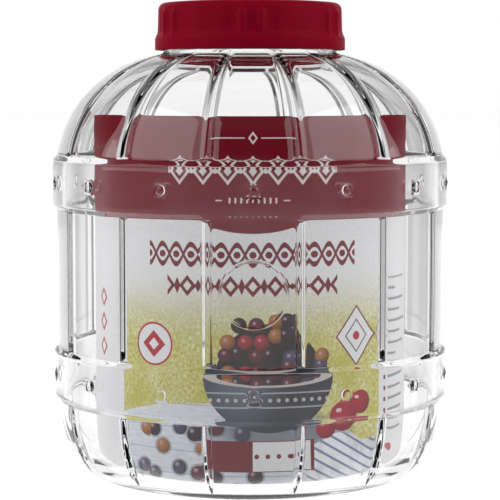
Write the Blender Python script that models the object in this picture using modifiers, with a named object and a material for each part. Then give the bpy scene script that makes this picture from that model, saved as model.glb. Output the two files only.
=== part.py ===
"""A fermentation pot: a barrel-shaped glass jar with a plastic screw lid, a card and an airlock.

Run it with: blender --background --python part.py

Everything is in metres, with +Z up and the origin under the centre of the jar's foot. The front of the
jar, where the card shows its print, faces -Y.
"""

from math import asin, ceil, cos, pi, sin, sqrt, tau

import bmesh
import bpy
from mathutils import Matrix

# Clearances
# Between pieces that rest on each other or stand side by side
GAP = 0.0003
# How far a joined shape is sunk into the body that it grows from
SINK = 0.0008

# Jar body
STAVE_COUNT = 14
STAVE_RADIUS = 0.1125
FOOT_RADIUS = 0.0888
HEEL_HEIGHT = 0.0489
STRAIGHT_LENGTH = 0.1268
DOME_HEIGHT = 0.0684
# Radius at which the dome's curve is level
DOME_CREST_RADIUS = 0.0394
NECK_RADIUS = 0.0498
# The neck's height over the dome's crest
NECK_LENGTH = 0.0240
RIM_ROUND = 0.0012
BODY_WALL = 0.0048
DOME_WALL = 0.0046
NECK_WALL = 0.0040
FLOOR_HEIGHT = 0.0071
# How far inside the foot's edge the flat floor ends
FLOOR_INSET = 0.0028
FOOT_WIDTH = 0.0070
PUSH_UP_SLOPE = 0.0060
PUSH_UP_HEIGHT = 0.0030

# Hoops and rivet heads, moulded in the glass
HOOP_STAND_OUT = 0.0020
HOOP_FLAT = 0.0233
HOOP_CHAMFER = 0.0039
LOWER_HOOP_RISE = 0.0110
UPPER_HOOP_DROP = 0.0062
RIVET_RADIUS = 0.0027
RIVET_HEIGHT = 0.0010

# Grooves between the staves
GROOVE_WIDTH = 0.0075
GROOVE_DEPTH = 0.0022
GROOVE_BOTTOM_WIDTH = 0.0018
GROOVE_END_HEIGHT = 0.0065
# The groove's size at the neck, next to its size on the straight staves
GROOVE_NECK_SHARE = 0.55
# How late the groove narrows on its way down the heel
GROOVE_END_POWER = 3

# Plain raised ring on the front stave
BADGE_RADIUS = 0.0180
BADGE_BEAD_RADIUS = 0.0009
# How much of the bead's radius stands out of the glass
BADGE_OUT_SHARE = 0.5

# Screw threads
THREAD_PITCH = 0.0060
JAR_THREAD_TURNS = 1.3
JAR_THREAD_DEPTH = 0.0014
JAR_THREAD_ROOT = 0.0030
JAR_THREAD_CREST = 0.0012
JAR_THREAD_DROP = 0.0050
LID_THREAD_TURNS = 1.1
LID_THREAD_DEPTH = 0.0013
LID_THREAD_ROOT = 0.0026
LID_THREAD_CREST = 0.0010
THREAD_SIDE_PLAY = 0.0005
THREAD_END_PLAY = 0.0004
THREAD_RUN_OUT_SHARE = 0.06
# The smallest size of a thread's or groove's tapered end, next to its full size
LEAST_SHARE = 0.15

# Lid
LID_WALL = 0.0018
LID_DRAFT = 0.0004
LID_EDGE_ROUND = 0.0040
LID_TOP_THICKNESS = 0.0024
CROWN_RISE = 0.0020
LID_DOME_GAP = 0.0012
SKIRT_STEP = 0.0016
SKIRT_HEIGHT = 0.0067
SKIRT_CHAMFER = 0.0035
SKIRT_RELIEF = 0.0009
SKIRT_RELIEF_HEIGHT = 0.0040
HUB_WALL = 0.0024
HUB_THICKNESS = 0.0020
GRIP_GROUPS = 6
GRIP_SPACING = 0.0106
GRIP_RADIUS = 0.0026
GRIP_STAND_OUT = 0.0013
GRIP_TOP_DROP = 0.0062
# Where the points of the crown's outline lie, along its radius
CROWN_SHARES = (0.5, 0.8)

# Liner
LINER_THICKNESS = 0.0013
LINER_LIP = 0.0018

# Bung
BUNG_RADIUS = 0.0100
BUNG_LENGTH = 0.0095
BUNG_TAPER = 0.0008
BUNG_FLANGE_RADIUS = 0.0130
BUNG_FLANGE_THICKNESS = 0.0022
BUNG_BORE_EASE = 0.0002

# Card
CARD_WALL_GAP = 0.0172
CARD_THICKNESS = 0.0005
CARD_WIDTH = 0.3000
# The card's top over the height where the dome begins
CARD_TOP_RISE = 0.0321

# Airlock
AIRLOCK_TUBE_RADIUS = 0.0040
AIRLOCK_WALL = 0.0012
# Room that the lying airlock leaves to the card round it
AIRLOCK_CARD_SPACE = 0.0132
AIRLOCK_BUBBLE_RADIUS = 0.0105
AIRLOCK_BUBBLE_LENGTH = 0.0220
# Straight tube at each end of a bubble
AIRLOCK_BUBBLE_END = 0.0040
AIRLOCK_STEM_SPACE = 0.0025
AIRLOCK_BUBBLE_SPACE = 0.0015
# Where the points of a bubble's outline lie, along half its length
BUBBLE_SHARES = (-1, -0.8, -0.45, 0, 0.45, 0.8, 1)
AIRLOCK_CUP_RADIUS = 0.0085
AIRLOCK_CUP_NECK = 0.0060
AIRLOCK_CUP_FLARE = 0.0050
AIRLOCK_CUP_LENGTH = 0.0140
CAP_WALL = 0.0011
CAP_OVERLAP = 0.0080

# Smoothness
STEPS_PER_STAVE = 4
JAR_STEPS = STAVE_COUNT * STEPS_PER_STAVE
LID_STEPS = 48
SMALL_STEPS = 28
CARD_STEPS = 32
THREAD_STEPS = 36
BADGE_STEPS = 24
RIVET_STEPS = 8
RIVET_RINGS = 6
GRIP_STEPS = 8
GRIP_ROUND_STEPS = 1
# Edges of the grip ribs that turn by more than this are rounded
SHARP_ANGLE = pi / 3
# Bevel resolution of the airlock's and the bead's round sections
AIRLOCK_SIDES = 2
BADGE_SIDES = 1
EDGE_POINTS = 4
BEND_POINTS = 6
DOME_POINTS = 10
HEEL_POINTS = 8
INNER_DOME_POINTS = 8
INNER_HEEL_POINTS = 7
MERGE_DISTANCE = 0.00001

# Angles of the staves and of the grooves between them, the first stave facing the front
STAVE_ANGLE = tau / STAVE_COUNT
FRONT_ANGLE = -pi / 2
STAVE_ANGLES = [FRONT_ANGLE + STAVE_ANGLE * i for i in range(STAVE_COUNT)]
GROOVE_ANGLES = [angle + STAVE_ANGLE / 2 for angle in STAVE_ANGLES]

# Levels and radii that several pieces share
FLOOR_RADIUS = FOOT_RADIUS - FLOOR_INSET
INNER_RADIUS = STAVE_RADIUS - BODY_WALL
MOUTH_RADIUS = NECK_RADIUS - NECK_WALL
SHOULDER_Z = HEEL_HEIGHT + STRAIGHT_LENGTH
DOME_TOP_Z = SHOULDER_Z + DOME_HEIGHT
RIM_Z = DOME_TOP_Z + NECK_LENGTH
LOWER_HOOP_Z = HEEL_HEIGHT + LOWER_HOOP_RISE
UPPER_HOOP_Z = SHOULDER_Z - UPPER_HOOP_DROP
HOOP_RADIUS = STAVE_RADIUS + HOOP_STAND_OUT

LINER_Z = RIM_Z + GAP
LID_SEAT_Z = LINER_Z + LINER_THICKNESS + GAP
LID_BOTTOM_Z = DOME_TOP_Z + LID_DOME_GAP
LID_SEAT = LID_SEAT_Z - LID_BOTTOM_Z
LID_EDGE = LID_SEAT + LID_TOP_THICKNESS
LID_TOP = LID_EDGE + CROWN_RISE
LID_INNER_RADIUS = NECK_RADIUS + JAR_THREAD_DEPTH + THREAD_SIDE_PLAY
LID_SIDE_RADIUS = LID_INNER_RADIUS + LID_WALL
SKIRT_RADIUS = LID_SIDE_RADIUS + SKIRT_STEP
CROWN_RADIUS = LID_SIDE_RADIUS - LID_DRAFT - LID_EDGE_ROUND

CARD_RADIUS = INNER_RADIUS - CARD_WALL_GAP

# The airlock's second and third runs lie beside its stem, and it is as long as its room allows
AIRLOCK_SECOND_RUN = AIRLOCK_TUBE_RADIUS + AIRLOCK_STEM_SPACE + AIRLOCK_BUBBLE_RADIUS
AIRLOCK_THIRD_RUN = AIRLOCK_SECOND_RUN + 2 * AIRLOCK_BUBBLE_RADIUS + AIRLOCK_BUBBLE_SPACE
CAP_RADIUS = AIRLOCK_CUP_RADIUS + GAP + CAP_WALL
AIRLOCK_ROOM = CARD_RADIUS - AIRLOCK_CARD_SPACE
AIRLOCK_REACH = sqrt(AIRLOCK_ROOM**2 - (AIRLOCK_THIRD_RUN / 2 + CAP_RADIUS) ** 2)
AIRLOCK_LENGTH = 2 * (AIRLOCK_REACH - GAP - CAP_WALL)
AIRLOCK_COLUMN = AIRLOCK_BUBBLE_LENGTH + 2 * AIRLOCK_BUBBLE_END
AIRLOCK_CUP_END = AIRLOCK_CUP_NECK + AIRLOCK_CUP_FLARE + AIRLOCK_CUP_LENGTH
AIRLOCK_STEM_LENGTH = AIRLOCK_LENGTH - AIRLOCK_CUP_END - AIRLOCK_COLUMN

BUNG_BORE_RADIUS = AIRLOCK_TUBE_RADIUS + BUNG_BORE_EASE
BUNG_HOLE_RADIUS = BUNG_RADIUS + GAP
WELL_RADIUS = BUNG_FLANGE_RADIUS + GAP
WELL_FLOOR = LID_TOP - BUNG_FLANGE_THICKNESS - GAP

JAR_THREAD_TOP_Z = RIM_Z - JAR_THREAD_DROP
JAR_THREAD_BOTTOM_Z = JAR_THREAD_TOP_Z - JAR_THREAD_TURNS * THREAD_PITCH
THREAD_SHIFT = (JAR_THREAD_ROOT + LID_THREAD_CREST) / 2 + THREAD_END_PLAY
LID_THREAD_BOTTOM = JAR_THREAD_BOTTOM_Z - THREAD_SHIFT - LID_BOTTOM_Z


def clear_scene():
    for old in list(bpy.data.objects):
        bpy.data.objects.remove(old, do_unlink=True)


def new_collection(name):
    collection = bpy.data.collections.new(name)
    bpy.context.scene.collection.children.link(collection)
    return collection


def plastic(name, colour, roughness, transmission=0.0):
    """A Principled material in one colour, given as red, green and blue from 0 to 1."""
    made = bpy.data.materials.new(name)
    made.use_nodes = True
    shader = made.node_tree.nodes["Principled BSDF"]
    shader.inputs["Base Color"].default_value = (*colour, 1.0)
    shader.inputs["Roughness"].default_value = roughness
    shader.inputs["Metallic"].default_value = 0.0
    shader.inputs["Transmission Weight"].default_value = transmission
    return made


def add_object(name, mesh, collection, finish=None):
    made = bpy.data.objects.new(name, mesh)
    collection.objects.link(made)
    if finish is not None:
        made.data.materials.append(finish)
    if collection is CUTTERS:
        made.hide_render = True
        made.display_type = "WIRE"
    return made


def turned(name, outline, steps, collection, finish=None, turn=tau, closed=True):
    """A shape turned about Z from points (radius, height) that run down the outer side first."""
    mesh = bpy.data.meshes.new(name)
    count = len(outline)
    edges = [(i, i + 1) for i in range(count - 1)]
    if closed:
        edges.append((count - 1, 0))
    mesh.from_pydata([(radius, 0, height) for radius, height in outline], edges, [])
    made = add_object(name, mesh, collection, finish)
    screw = made.modifiers.new("turn", "SCREW")
    screw.axis = "Z"
    screw.angle = turn
    screw.steps = steps
    screw.render_steps = steps
    screw.use_merge_vertices = True
    screw.merge_threshold = MERGE_DISTANCE
    screw.use_smooth_shade = True
    return made


def combine(target, tool, operation):
    """Cuts the tool from the target with DIFFERENCE, or joins it with UNION."""
    boolean = target.modifiers.new(tool.name, "BOOLEAN")
    boolean.operation = operation
    boolean.solver = "EXACT"
    boolean.object = tool


def as_mesh(made):
    """Turns a curve object into a closed mesh object in the same place, with its caps welded on."""
    bpy.context.view_layer.update()
    shape = made.evaluated_get(bpy.context.evaluated_depsgraph_get())
    mesh = bpy.data.meshes.new_from_object(shape)
    work = bmesh.new()
    work.from_mesh(mesh)
    bmesh.ops.remove_doubles(work, verts=work.verts, dist=MERGE_DISTANCE)
    bmesh.ops.recalc_face_normals(work, faces=work.faces)
    work.to_mesh(mesh)
    work.free()
    mesh.shade_smooth()
    collection = made.users_collection[0]
    name = made.name
    place = made.matrix_world.copy()
    curve = made.data
    bpy.data.objects.remove(made, do_unlink=True)
    bpy.data.curves.remove(curve)
    solid = add_object(name, mesh, collection)
    solid.matrix_world = place
    return solid


def path_curve(name, points, radii, collection, dimensions="3D", closed=False):
    """A curve of straight runs through the points, whose thickness follows the radii."""
    curve = bpy.data.curves.new(name, "CURVE")
    curve.dimensions = dimensions
    curve.fill_mode = "FULL" if dimensions == "3D" else "NONE"
    curve.use_fill_caps = True
    curve.twist_mode = "Z_UP"
    spline = curve.splines.new("POLY")
    spline.points.add(len(points) - 1)
    for target, point, radius in zip(spline.points, points, radii):
        target.co = (*point, 1)
        target.radius = radius
    spline.use_cyclic_u = closed
    return add_object(name, curve, collection)


def section(name, points):
    """A flat closed outline that a curve carries along itself."""
    flat = [(across, up, 0) for across, up in points]
    return path_curve(name, flat, [1] * len(flat), CUTTERS, dimensions="2D", closed=True)


def arc(centre, radius, height, start, end, count):
    """Points (radius, height) on part of an ellipse, between two angles from level."""
    found = []
    for i in range(count + 1):
        angle = start + (end - start) * i / count
        found.append((centre[0] + radius * cos(angle), centre[1] + height * sin(angle)))
    return found


def inner_heel():
    """The curve that rises from the jar's flat floor to its inner wall."""
    rise = HEEL_HEIGHT - FLOOR_HEIGHT
    width = INNER_RADIUS - FLOOR_RADIUS
    return arc((FLOOR_RADIUS, HEEL_HEIGHT), width, rise, -pi / 2, 0, INNER_HEEL_POINTS)


def floor_z(radius):
    """Height of the jar's inside under a ring that stands in it at a radius, facets allowed for."""
    corner_radius = radius / cos(pi / JAR_STEPS)
    curve = inner_heel()
    for (inner, low), (outer, high) in zip(curve, curve[1:]):
        if inner <= corner_radius <= outer:
            return low + (high - low) * (corner_radius - inner) / (outer - inner)
    return FLOOR_HEIGHT


def outer_side(end_angle):
    """The staves' outline from the neck down to the heel, ending at an angle under level."""
    dome_width = STAVE_RADIUS - DOME_CREST_RADIUS
    heel_width = STAVE_RADIUS - FOOT_RADIUS
    start = pi / 2 - asin((NECK_RADIUS - DOME_CREST_RADIUS) / dome_width)
    dome = arc((DOME_CREST_RADIUS, SHOULDER_Z), dome_width, DOME_HEIGHT, start, 0, DOME_POINTS)
    heel = arc((FOOT_RADIUS, HEEL_HEIGHT), heel_width, HEEL_HEIGHT, 0, end_angle, HEEL_POINTS)
    return dome + heel


def jar_outline():
    """The whole turned outline of the jar: floor, up the inside, over the rim, down the outside, base."""
    foot_inner = FOOT_RADIUS - FOOT_WIDTH
    push_up_radius = foot_inner - PUSH_UP_SLOPE
    inner_dome_width = INNER_RADIUS - DOME_CREST_RADIUS
    inner_dome_height = DOME_HEIGHT - DOME_WALL
    mouth_angle = pi / 2 - asin((MOUTH_RADIUS - DOME_CREST_RADIUS) / inner_dome_width)
    base = [(foot_inner, 0), (push_up_radius, PUSH_UP_HEIGHT), (0, PUSH_UP_HEIGHT)]
    inner_dome = arc(
        (DOME_CREST_RADIUS, SHOULDER_Z),
        inner_dome_width,
        inner_dome_height,
        0,
        mouth_angle,
        INNER_DOME_POINTS,
    )
    rim = [
        (MOUTH_RADIUS, RIM_Z - RIM_ROUND),
        (MOUTH_RADIUS + RIM_ROUND, RIM_Z),
        (NECK_RADIUS - RIM_ROUND, RIM_Z),
        (NECK_RADIUS, RIM_Z - RIM_ROUND),
    ]
    return [(0, FLOOR_HEIGHT)] + inner_heel() + inner_dome + rim + outer_side(-pi / 2) + base


def hoop(name, height):
    """A plain band round the staves, with both edges sloped down into the grooves."""
    base_radius = STAVE_RADIUS - GROOVE_DEPTH - SINK
    slope = HOOP_CHAMFER / HOOP_STAND_OUT * (HOOP_RADIUS - base_radius)
    flat = HOOP_FLAT / 2
    outline = [
        (base_radius, height + flat + slope),
        (HOOP_RADIUS, height + flat),
        (HOOP_RADIUS, height - flat),
        (base_radius, height - flat - slope),
    ]
    band = turned(name, outline, JAR_STEPS, CUTTERS)
    band.rotation_euler = (0, 0, pi / JAR_STEPS)
    return band


def groove_cutters():
    """One cutter for each groove, swept down the staves' outline and tapered at both ends."""
    end_angle = -asin(1 - GROOVE_END_HEIGHT / HEEL_HEIGHT)
    side = outer_side(end_angle)
    wide = GROOVE_WIDTH / 2
    narrow = GROOVE_BOTTOM_WIDTH / 2
    flare = wide + (wide - narrow) * SINK / GROOVE_DEPTH
    outline = section(
        "groove_section",
        [(GROOVE_DEPTH, -narrow), (-SINK, -flare), (-SINK, flare), (GROOVE_DEPTH, narrow)],
    )
    points = [(radius, height, 0) for radius, height in side]
    shares = []
    for number, (radius, height) in enumerate(side):
        up_dome = max(0, (height - SHOULDER_Z) / (DOME_TOP_Z - SHOULDER_Z))
        down_heel = max(0, (number - DOME_POINTS - 1) / HEEL_POINTS)
        if number <= DOME_POINTS:
            shares.append(1 - (1 - GROOVE_NECK_SHARE) * up_dome)
        else:
            shares.append(max(LEAST_SHARE, sqrt(1 - down_heel**GROOVE_END_POWER)))
    sweep = path_curve("groove", points, shares, CUTTERS, dimensions="2D")
    sweep.data.bevel_mode = "OBJECT"
    sweep.data.bevel_object = outline
    return around("groove_cutters", as_mesh(sweep), GROOVE_ANGLES, Matrix.Rotation(pi / 2, 4, "X"))


def around(name, original, angles, first=Matrix.Identity(4)):
    """One object that holds a copy of the original at each angle about Z."""
    work = bmesh.new()
    for angle in angles:
        start = len(work.verts)
        work.from_mesh(original.data)
        work.verts.ensure_lookup_table()
        turn = Matrix.Rotation(angle, 4, "Z") @ first
        bmesh.ops.transform(work, matrix=turn, verts=work.verts[start:])
    mesh = bpy.data.meshes.new(name)
    work.to_mesh(mesh)
    work.free()
    bpy.data.objects.remove(original, do_unlink=True)
    return add_object(name, mesh, CUTTERS)


def rivet_heads():
    """Low domes on both hoops, one on each stave."""
    size = Matrix.Diagonal((RIVET_RADIUS, RIVET_RADIUS, RIVET_HEIGHT + SINK, 1))
    lie = Matrix.Rotation(pi / 2, 4, "Y")
    work = bmesh.new()
    for angle in STAVE_ANGLES:
        turn = Matrix.Rotation(angle, 4, "Z")
        for height in (LOWER_HOOP_Z, UPPER_HOOP_Z):
            place = Matrix.Translation((HOOP_RADIUS - SINK, 0, height))
            head = bmesh.ops.create_uvsphere(
                work, u_segments=RIVET_STEPS, v_segments=RIVET_RINGS, radius=1
            )
            bmesh.ops.transform(work, matrix=turn @ place @ lie @ size, verts=head["verts"])
    mesh = bpy.data.meshes.new("rivets")
    work.to_mesh(mesh)
    work.free()
    return add_object("rivets", mesh, CUTTERS)


def thread_ridge(name, radius, bottom, turns, depth, root, crest):
    """A helical ridge on a wall: it stands out for a positive depth and inwards for a negative one."""
    inside = -SINK if depth > 0 else SINK
    outline = section(
        name + "_section",
        [(inside, -root / 2), (depth, -crest / 2), (depth, crest / 2), (inside, root / 2)],
    )
    count = ceil(THREAD_STEPS * turns)
    points = []
    shares = []
    for i in range(count + 1):
        share = i / count
        angle = tau * turns * share
        height = bottom + THREAD_PITCH * turns * share
        points.append((radius * cos(angle), radius * sin(angle), height))
        shares.append(min(1, max(LEAST_SHARE, min(share, 1 - share) / THREAD_RUN_OUT_SHARE)))
    sweep = path_curve(name, points, shares, CUTTERS)
    sweep.data.bevel_mode = "OBJECT"
    sweep.data.bevel_object = outline
    return as_mesh(sweep)


def badge_ring():
    """A plain bead that stands on the front stave as a ring."""
    middle = (LOWER_HOOP_Z + UPPER_HOOP_Z) / 2
    radius = STAVE_RADIUS - BADGE_BEAD_RADIUS * (1 - BADGE_OUT_SHARE)
    points = []
    for i in range(BADGE_STEPS):
        angle = tau * i / BADGE_STEPS
        across = FRONT_ANGLE + BADGE_RADIUS * cos(angle) / STAVE_RADIUS
        points.append((radius * cos(across), radius * sin(across), middle + BADGE_RADIUS * sin(angle)))
    ring = path_curve("badge_ring", points, [1] * BADGE_STEPS, CUTTERS, closed=True)
    ring.data.bevel_depth = BADGE_BEAD_RADIUS
    ring.data.bevel_resolution = BADGE_SIDES
    return as_mesh(ring)


def crown_z(radius):
    """Height of the lid's slightly domed top over the lid's bottom edge."""
    return LID_TOP - CROWN_RISE * (radius / CROWN_RADIUS) ** 2


def lid_outline():
    """The lid's turned wall: the well for the bung, the crown, the stepped side and the inside."""
    crown = [(CROWN_RADIUS * share, crown_z(CROWN_RADIUS * share)) for share in CROWN_SHARES]
    edge_centre = (CROWN_RADIUS, LID_EDGE - LID_EDGE_ROUND)
    edge = arc(edge_centre, LID_EDGE_ROUND, LID_EDGE_ROUND, pi / 2, 0, EDGE_POINTS)
    skirt = [
        (LID_SIDE_RADIUS, SKIRT_HEIGHT + SKIRT_CHAMFER),
        (SKIRT_RADIUS, SKIRT_HEIGHT),
        (SKIRT_RADIUS, 0),
        (LID_INNER_RADIUS + SKIRT_RELIEF, 0),
    ]
    hub_radius = WELL_RADIUS + HUB_WALL
    shell_radius = MOUTH_RADIUS - LINER_LIP
    inside = [
        (LID_INNER_RADIUS + SKIRT_RELIEF, SKIRT_RELIEF_HEIGHT),
        (LID_INNER_RADIUS, SKIRT_RELIEF_HEIGHT + SKIRT_RELIEF),
        (LID_INNER_RADIUS, LID_SEAT),
        (shell_radius, LID_SEAT),
        (shell_radius, crown_z(shell_radius) - LID_TOP_THICKNESS),
        (hub_radius, crown_z(hub_radius) - LID_TOP_THICKNESS),
        (hub_radius, WELL_FLOOR - HUB_THICKNESS),
        (BUNG_HOLE_RADIUS, WELL_FLOOR - HUB_THICKNESS),
    ]
    well = [(BUNG_HOLE_RADIUS, WELL_FLOOR), (WELL_RADIUS, WELL_FLOOR), (WELL_RADIUS, crown_z(WELL_RADIUS))]
    return well + crown + edge + skirt + inside


def grip_ribs():
    """Pairs of upright round-ended ribs on the lid's side."""
    top = LID_TOP - GRIP_TOP_DROP
    bottom = SKIRT_HEIGHT + SKIRT_CHAMFER / 2
    length = top - bottom
    size = Matrix.Diagonal((GRIP_STAND_OUT, GRIP_RADIUS, length, 1))
    place = Matrix.Translation((LID_SIDE_RADIUS, 0, bottom + length / 2))
    half_angle = asin(GRIP_SPACING / 2 / LID_SIDE_RADIUS)
    work = bmesh.new()
    for group in range(GRIP_GROUPS):
        for side in (-half_angle, half_angle):
            rib = bmesh.ops.create_cone(
                work, cap_ends=True, segments=GRIP_STEPS, radius1=1, radius2=1, depth=1
            )
            turn = Matrix.Rotation(FRONT_ANGLE + tau * group / GRIP_GROUPS + side, 4, "Z")
            bmesh.ops.transform(work, matrix=turn @ place @ size, verts=rib["verts"])
    mesh = bpy.data.meshes.new("grip_ribs")
    work.to_mesh(mesh)
    work.free()
    ribs = add_object("grip_ribs", mesh, CUTTERS)
    ribs.matrix_world = Matrix.Translation((0, 0, LID_BOTTOM_Z))
    round_ends = ribs.modifiers.new("round_ends", "BEVEL")
    round_ends.width = GRIP_STAND_OUT / 2
    round_ends.segments = GRIP_ROUND_STEPS
    round_ends.limit_method = "ANGLE"
    round_ends.angle_limit = SHARP_ANGLE
    return ribs


def bung_outline():
    """The bung: a flange that lies in the lid's well, a tapered plug under it and a bore through both."""
    body_top = -BUNG_FLANGE_THICKNESS
    bottom = body_top - BUNG_LENGTH
    straight = body_top - HUB_THICKNESS
    return [
        (BUNG_BORE_RADIUS, 0),
        (BUNG_FLANGE_RADIUS, 0),
        (BUNG_FLANGE_RADIUS, body_top),
        (BUNG_RADIUS, body_top),
        (BUNG_RADIUS, straight),
        (BUNG_RADIUS - BUNG_TAPER, bottom),
        (BUNG_BORE_RADIUS, bottom),
    ]


def airlock_path():
    """The airlock's centre line as (along, across) points, with the tube's outer radius at each."""
    tube = AIRLOCK_TUBE_RADIUS
    low = AIRLOCK_STEM_LENGTH
    high = low + AIRLOCK_COLUMN
    middle = low + AIRLOCK_COLUMN / 2
    second = AIRLOCK_SECOND_RUN
    third = AIRLOCK_THIRD_RUN
    upper_turn = second / 2
    lower_turn = (third - second) / 2
    upper_centre = (high, upper_turn)
    lower_centre = (low, second + lower_turn)
    swell = AIRLOCK_BUBBLE_RADIUS - tube
    path = [(0, 0, tube)]
    for along, across in arc(upper_centre, upper_turn, upper_turn, -pi / 2, pi / 2, BEND_POINTS):
        path.append((along, across, tube))
    for share in BUBBLE_SHARES:
        reach = AIRLOCK_BUBBLE_LENGTH / 2 * share
        path.append((middle - reach, second, tube + swell * sqrt(1 - share * share)))
    for along, across in arc(lower_centre, lower_turn, lower_turn, -pi / 2, -3 * pi / 2, BEND_POINTS):
        path.append((along, across, tube))
    for share in BUBBLE_SHARES:
        reach = AIRLOCK_BUBBLE_LENGTH / 2 * share
        path.append((middle + reach, third, tube + swell * sqrt(1 - share * share)))
    cup = high + AIRLOCK_CUP_NECK
    path.append((cup, third, tube))
    path.append((cup + AIRLOCK_CUP_FLARE, third, AIRLOCK_CUP_RADIUS))
    path.append((AIRLOCK_LENGTH, third, AIRLOCK_CUP_RADIUS))
    return path


def airlock_sweep(name, thinner, collection):
    """The airlock's outer shape, or its bore when it is made thinner by the wall."""
    path = airlock_path()
    if thinner:
        first = path[0]
        last = path[-1]
        path = [(first[0] - SINK, first[1], first[2])] + path + [(last[0] + SINK, last[1], last[2])]
    sweep = path_curve(
        name,
        [(along, across, 0) for along, across, radius in path],
        [(radius - thinner) / AIRLOCK_TUBE_RADIUS for along, across, radius in path],
        collection,
    )
    sweep.data.bevel_depth = AIRLOCK_TUBE_RADIUS
    sweep.data.bevel_resolution = AIRLOCK_SIDES
    return as_mesh(sweep)


def cap_outline():
    """The airlock's dust cap, closed at its top and open below."""
    inner = AIRLOCK_CUP_RADIUS + GAP
    return [
        (0, CAP_WALL),
        (CAP_RADIUS - CAP_WALL, CAP_WALL),
        (CAP_RADIUS, 0),
        (CAP_RADIUS, -CAP_OVERLAP),
        (inner, -CAP_OVERLAP),
        (inner, 0),
        (0, 0),
    ]


clear_scene()
POT = new_collection("fermentation_pot")
CUTTERS = new_collection("cutters")

GLASS = plastic("clear_glass", (0.94, 0.96, 0.95), 0.04, transmission=1.0)
LID_RED = plastic("raspberry_plastic", (0.30, 0.004, 0.02), 0.35)
SOFT_WHITE = plastic("liner_foam", (0.82, 0.81, 0.78), 0.7)
RUBBER = plastic("bung_rubber", (0.18, 0.006, 0.01), 0.6)
CARD = plastic("printed_card", (0.45, 0.43, 0.40), 0.6)
CLEAR = plastic("clear_plastic", (0.9, 0.93, 0.92), 0.08, transmission=1.0)

# The jar: one glass moulding
jar = turned("glass_jar", jar_outline(), JAR_STEPS, POT, GLASS, closed=False)
combine(jar, groove_cutters(), "DIFFERENCE")
combine(jar, hoop("lower_hoop", LOWER_HOOP_Z), "UNION")
combine(jar, hoop("upper_hoop", UPPER_HOOP_Z), "UNION")
combine(jar, rivet_heads(), "UNION")
combine(
    jar,
    thread_ridge(
        "jar_thread",
        NECK_RADIUS,
        JAR_THREAD_BOTTOM_Z,
        JAR_THREAD_TURNS,
        JAR_THREAD_DEPTH,
        JAR_THREAD_ROOT,
        JAR_THREAD_CREST,
    ),
    "UNION",
)
combine(jar, badge_ring(), "UNION")

# The liner lies on the rim, and the lid turns on it about the jar's axis
liner_inner = MOUTH_RADIUS - LINER_LIP
liner_outer = LID_INNER_RADIUS - GAP
liner = turned(
    "lid_liner",
    [(liner_outer, LINER_THICKNESS), (liner_outer, 0), (liner_inner, 0), (liner_inner, LINER_THICKNESS)],
    LID_STEPS,
    POT,
    SOFT_WHITE,
)
liner.location = (0, 0, LINER_Z)
liner.parent = jar

lid = turned("screw_lid", lid_outline(), LID_STEPS, POT, LID_RED)
lid.location = (0, 0, LID_BOTTOM_Z - LINER_Z)
lid.parent = liner
combine(lid, grip_ribs(), "UNION")
lid_thread = thread_ridge(
    "lid_thread",
    LID_INNER_RADIUS,
    LID_THREAD_BOTTOM + LID_BOTTOM_Z,
    LID_THREAD_TURNS,
    -LID_THREAD_DEPTH,
    LID_THREAD_ROOT,
    LID_THREAD_CREST,
)
combine(lid, lid_thread, "UNION")

# The bung pulls up out of the lid
bung = turned("airlock_bung", bung_outline(), SMALL_STEPS, POT, RUBBER)
bung.location = (0, 0, LID_TOP)
bung.parent = lid

# The card stands curled on the curve that rises from the floor, open to the back
card_bottom = floor_z(CARD_RADIUS) + GAP
card_turn = CARD_WIDTH / CARD_RADIUS
card = turned(
    "card_insert",
    [(CARD_RADIUS, SHOULDER_Z + CARD_TOP_RISE - card_bottom), (CARD_RADIUS, 0)],
    CARD_STEPS,
    POT,
    CARD,
    turn=card_turn,
    closed=False,
)
card.location = (0, 0, card_bottom)
card.rotation_euler = (0, 0, FRONT_ANGLE - card_turn / 2)
card.parent = jar
thicken = card.modifiers.new("thickness", "SOLIDIFY")
thicken.thickness = CARD_THICKNESS
thicken.offset = -1

# The airlock lies on the floor behind the card, with its cap pushed on
airlock = airlock_sweep("airlock_tube", 0, POT)
airlock.data.materials.append(CLEAR)
airlock_bore = airlock_sweep("airlock_bore", AIRLOCK_WALL, CUTTERS)
combine(airlock, airlock_bore, "DIFFERENCE")
airlock_height = FLOOR_HEIGHT + GAP + AIRLOCK_BUBBLE_RADIUS
airlock_place = (-AIRLOCK_LENGTH / 2, -AIRLOCK_THIRD_RUN / 2, airlock_height)
airlock.location = airlock_place
airlock_bore.location = airlock_place
airlock.parent = jar

cap = turned("airlock_cap", cap_outline(), SMALL_STEPS, POT, LID_RED, closed=False)
cap.location = (AIRLOCK_LENGTH + GAP, AIRLOCK_THIRD_RUN, 0)
cap.rotation_euler = (0, pi / 2, 0)
cap.parent = airlock
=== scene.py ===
"""A fermentation jar of clear moulded glass, with its screw lid, card and airlock, dressed for looks.

Everything is in metres, with +Z up and the origin under the centre of the jar's foot. The jar's front,
where the card shows its print, faces -Y.
"""

import logging
from collections.abc import Callable, Iterable
from dataclasses import dataclass
from enum import Enum
from math import asin, cos, pi, radians, sin, tan, tau

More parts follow.
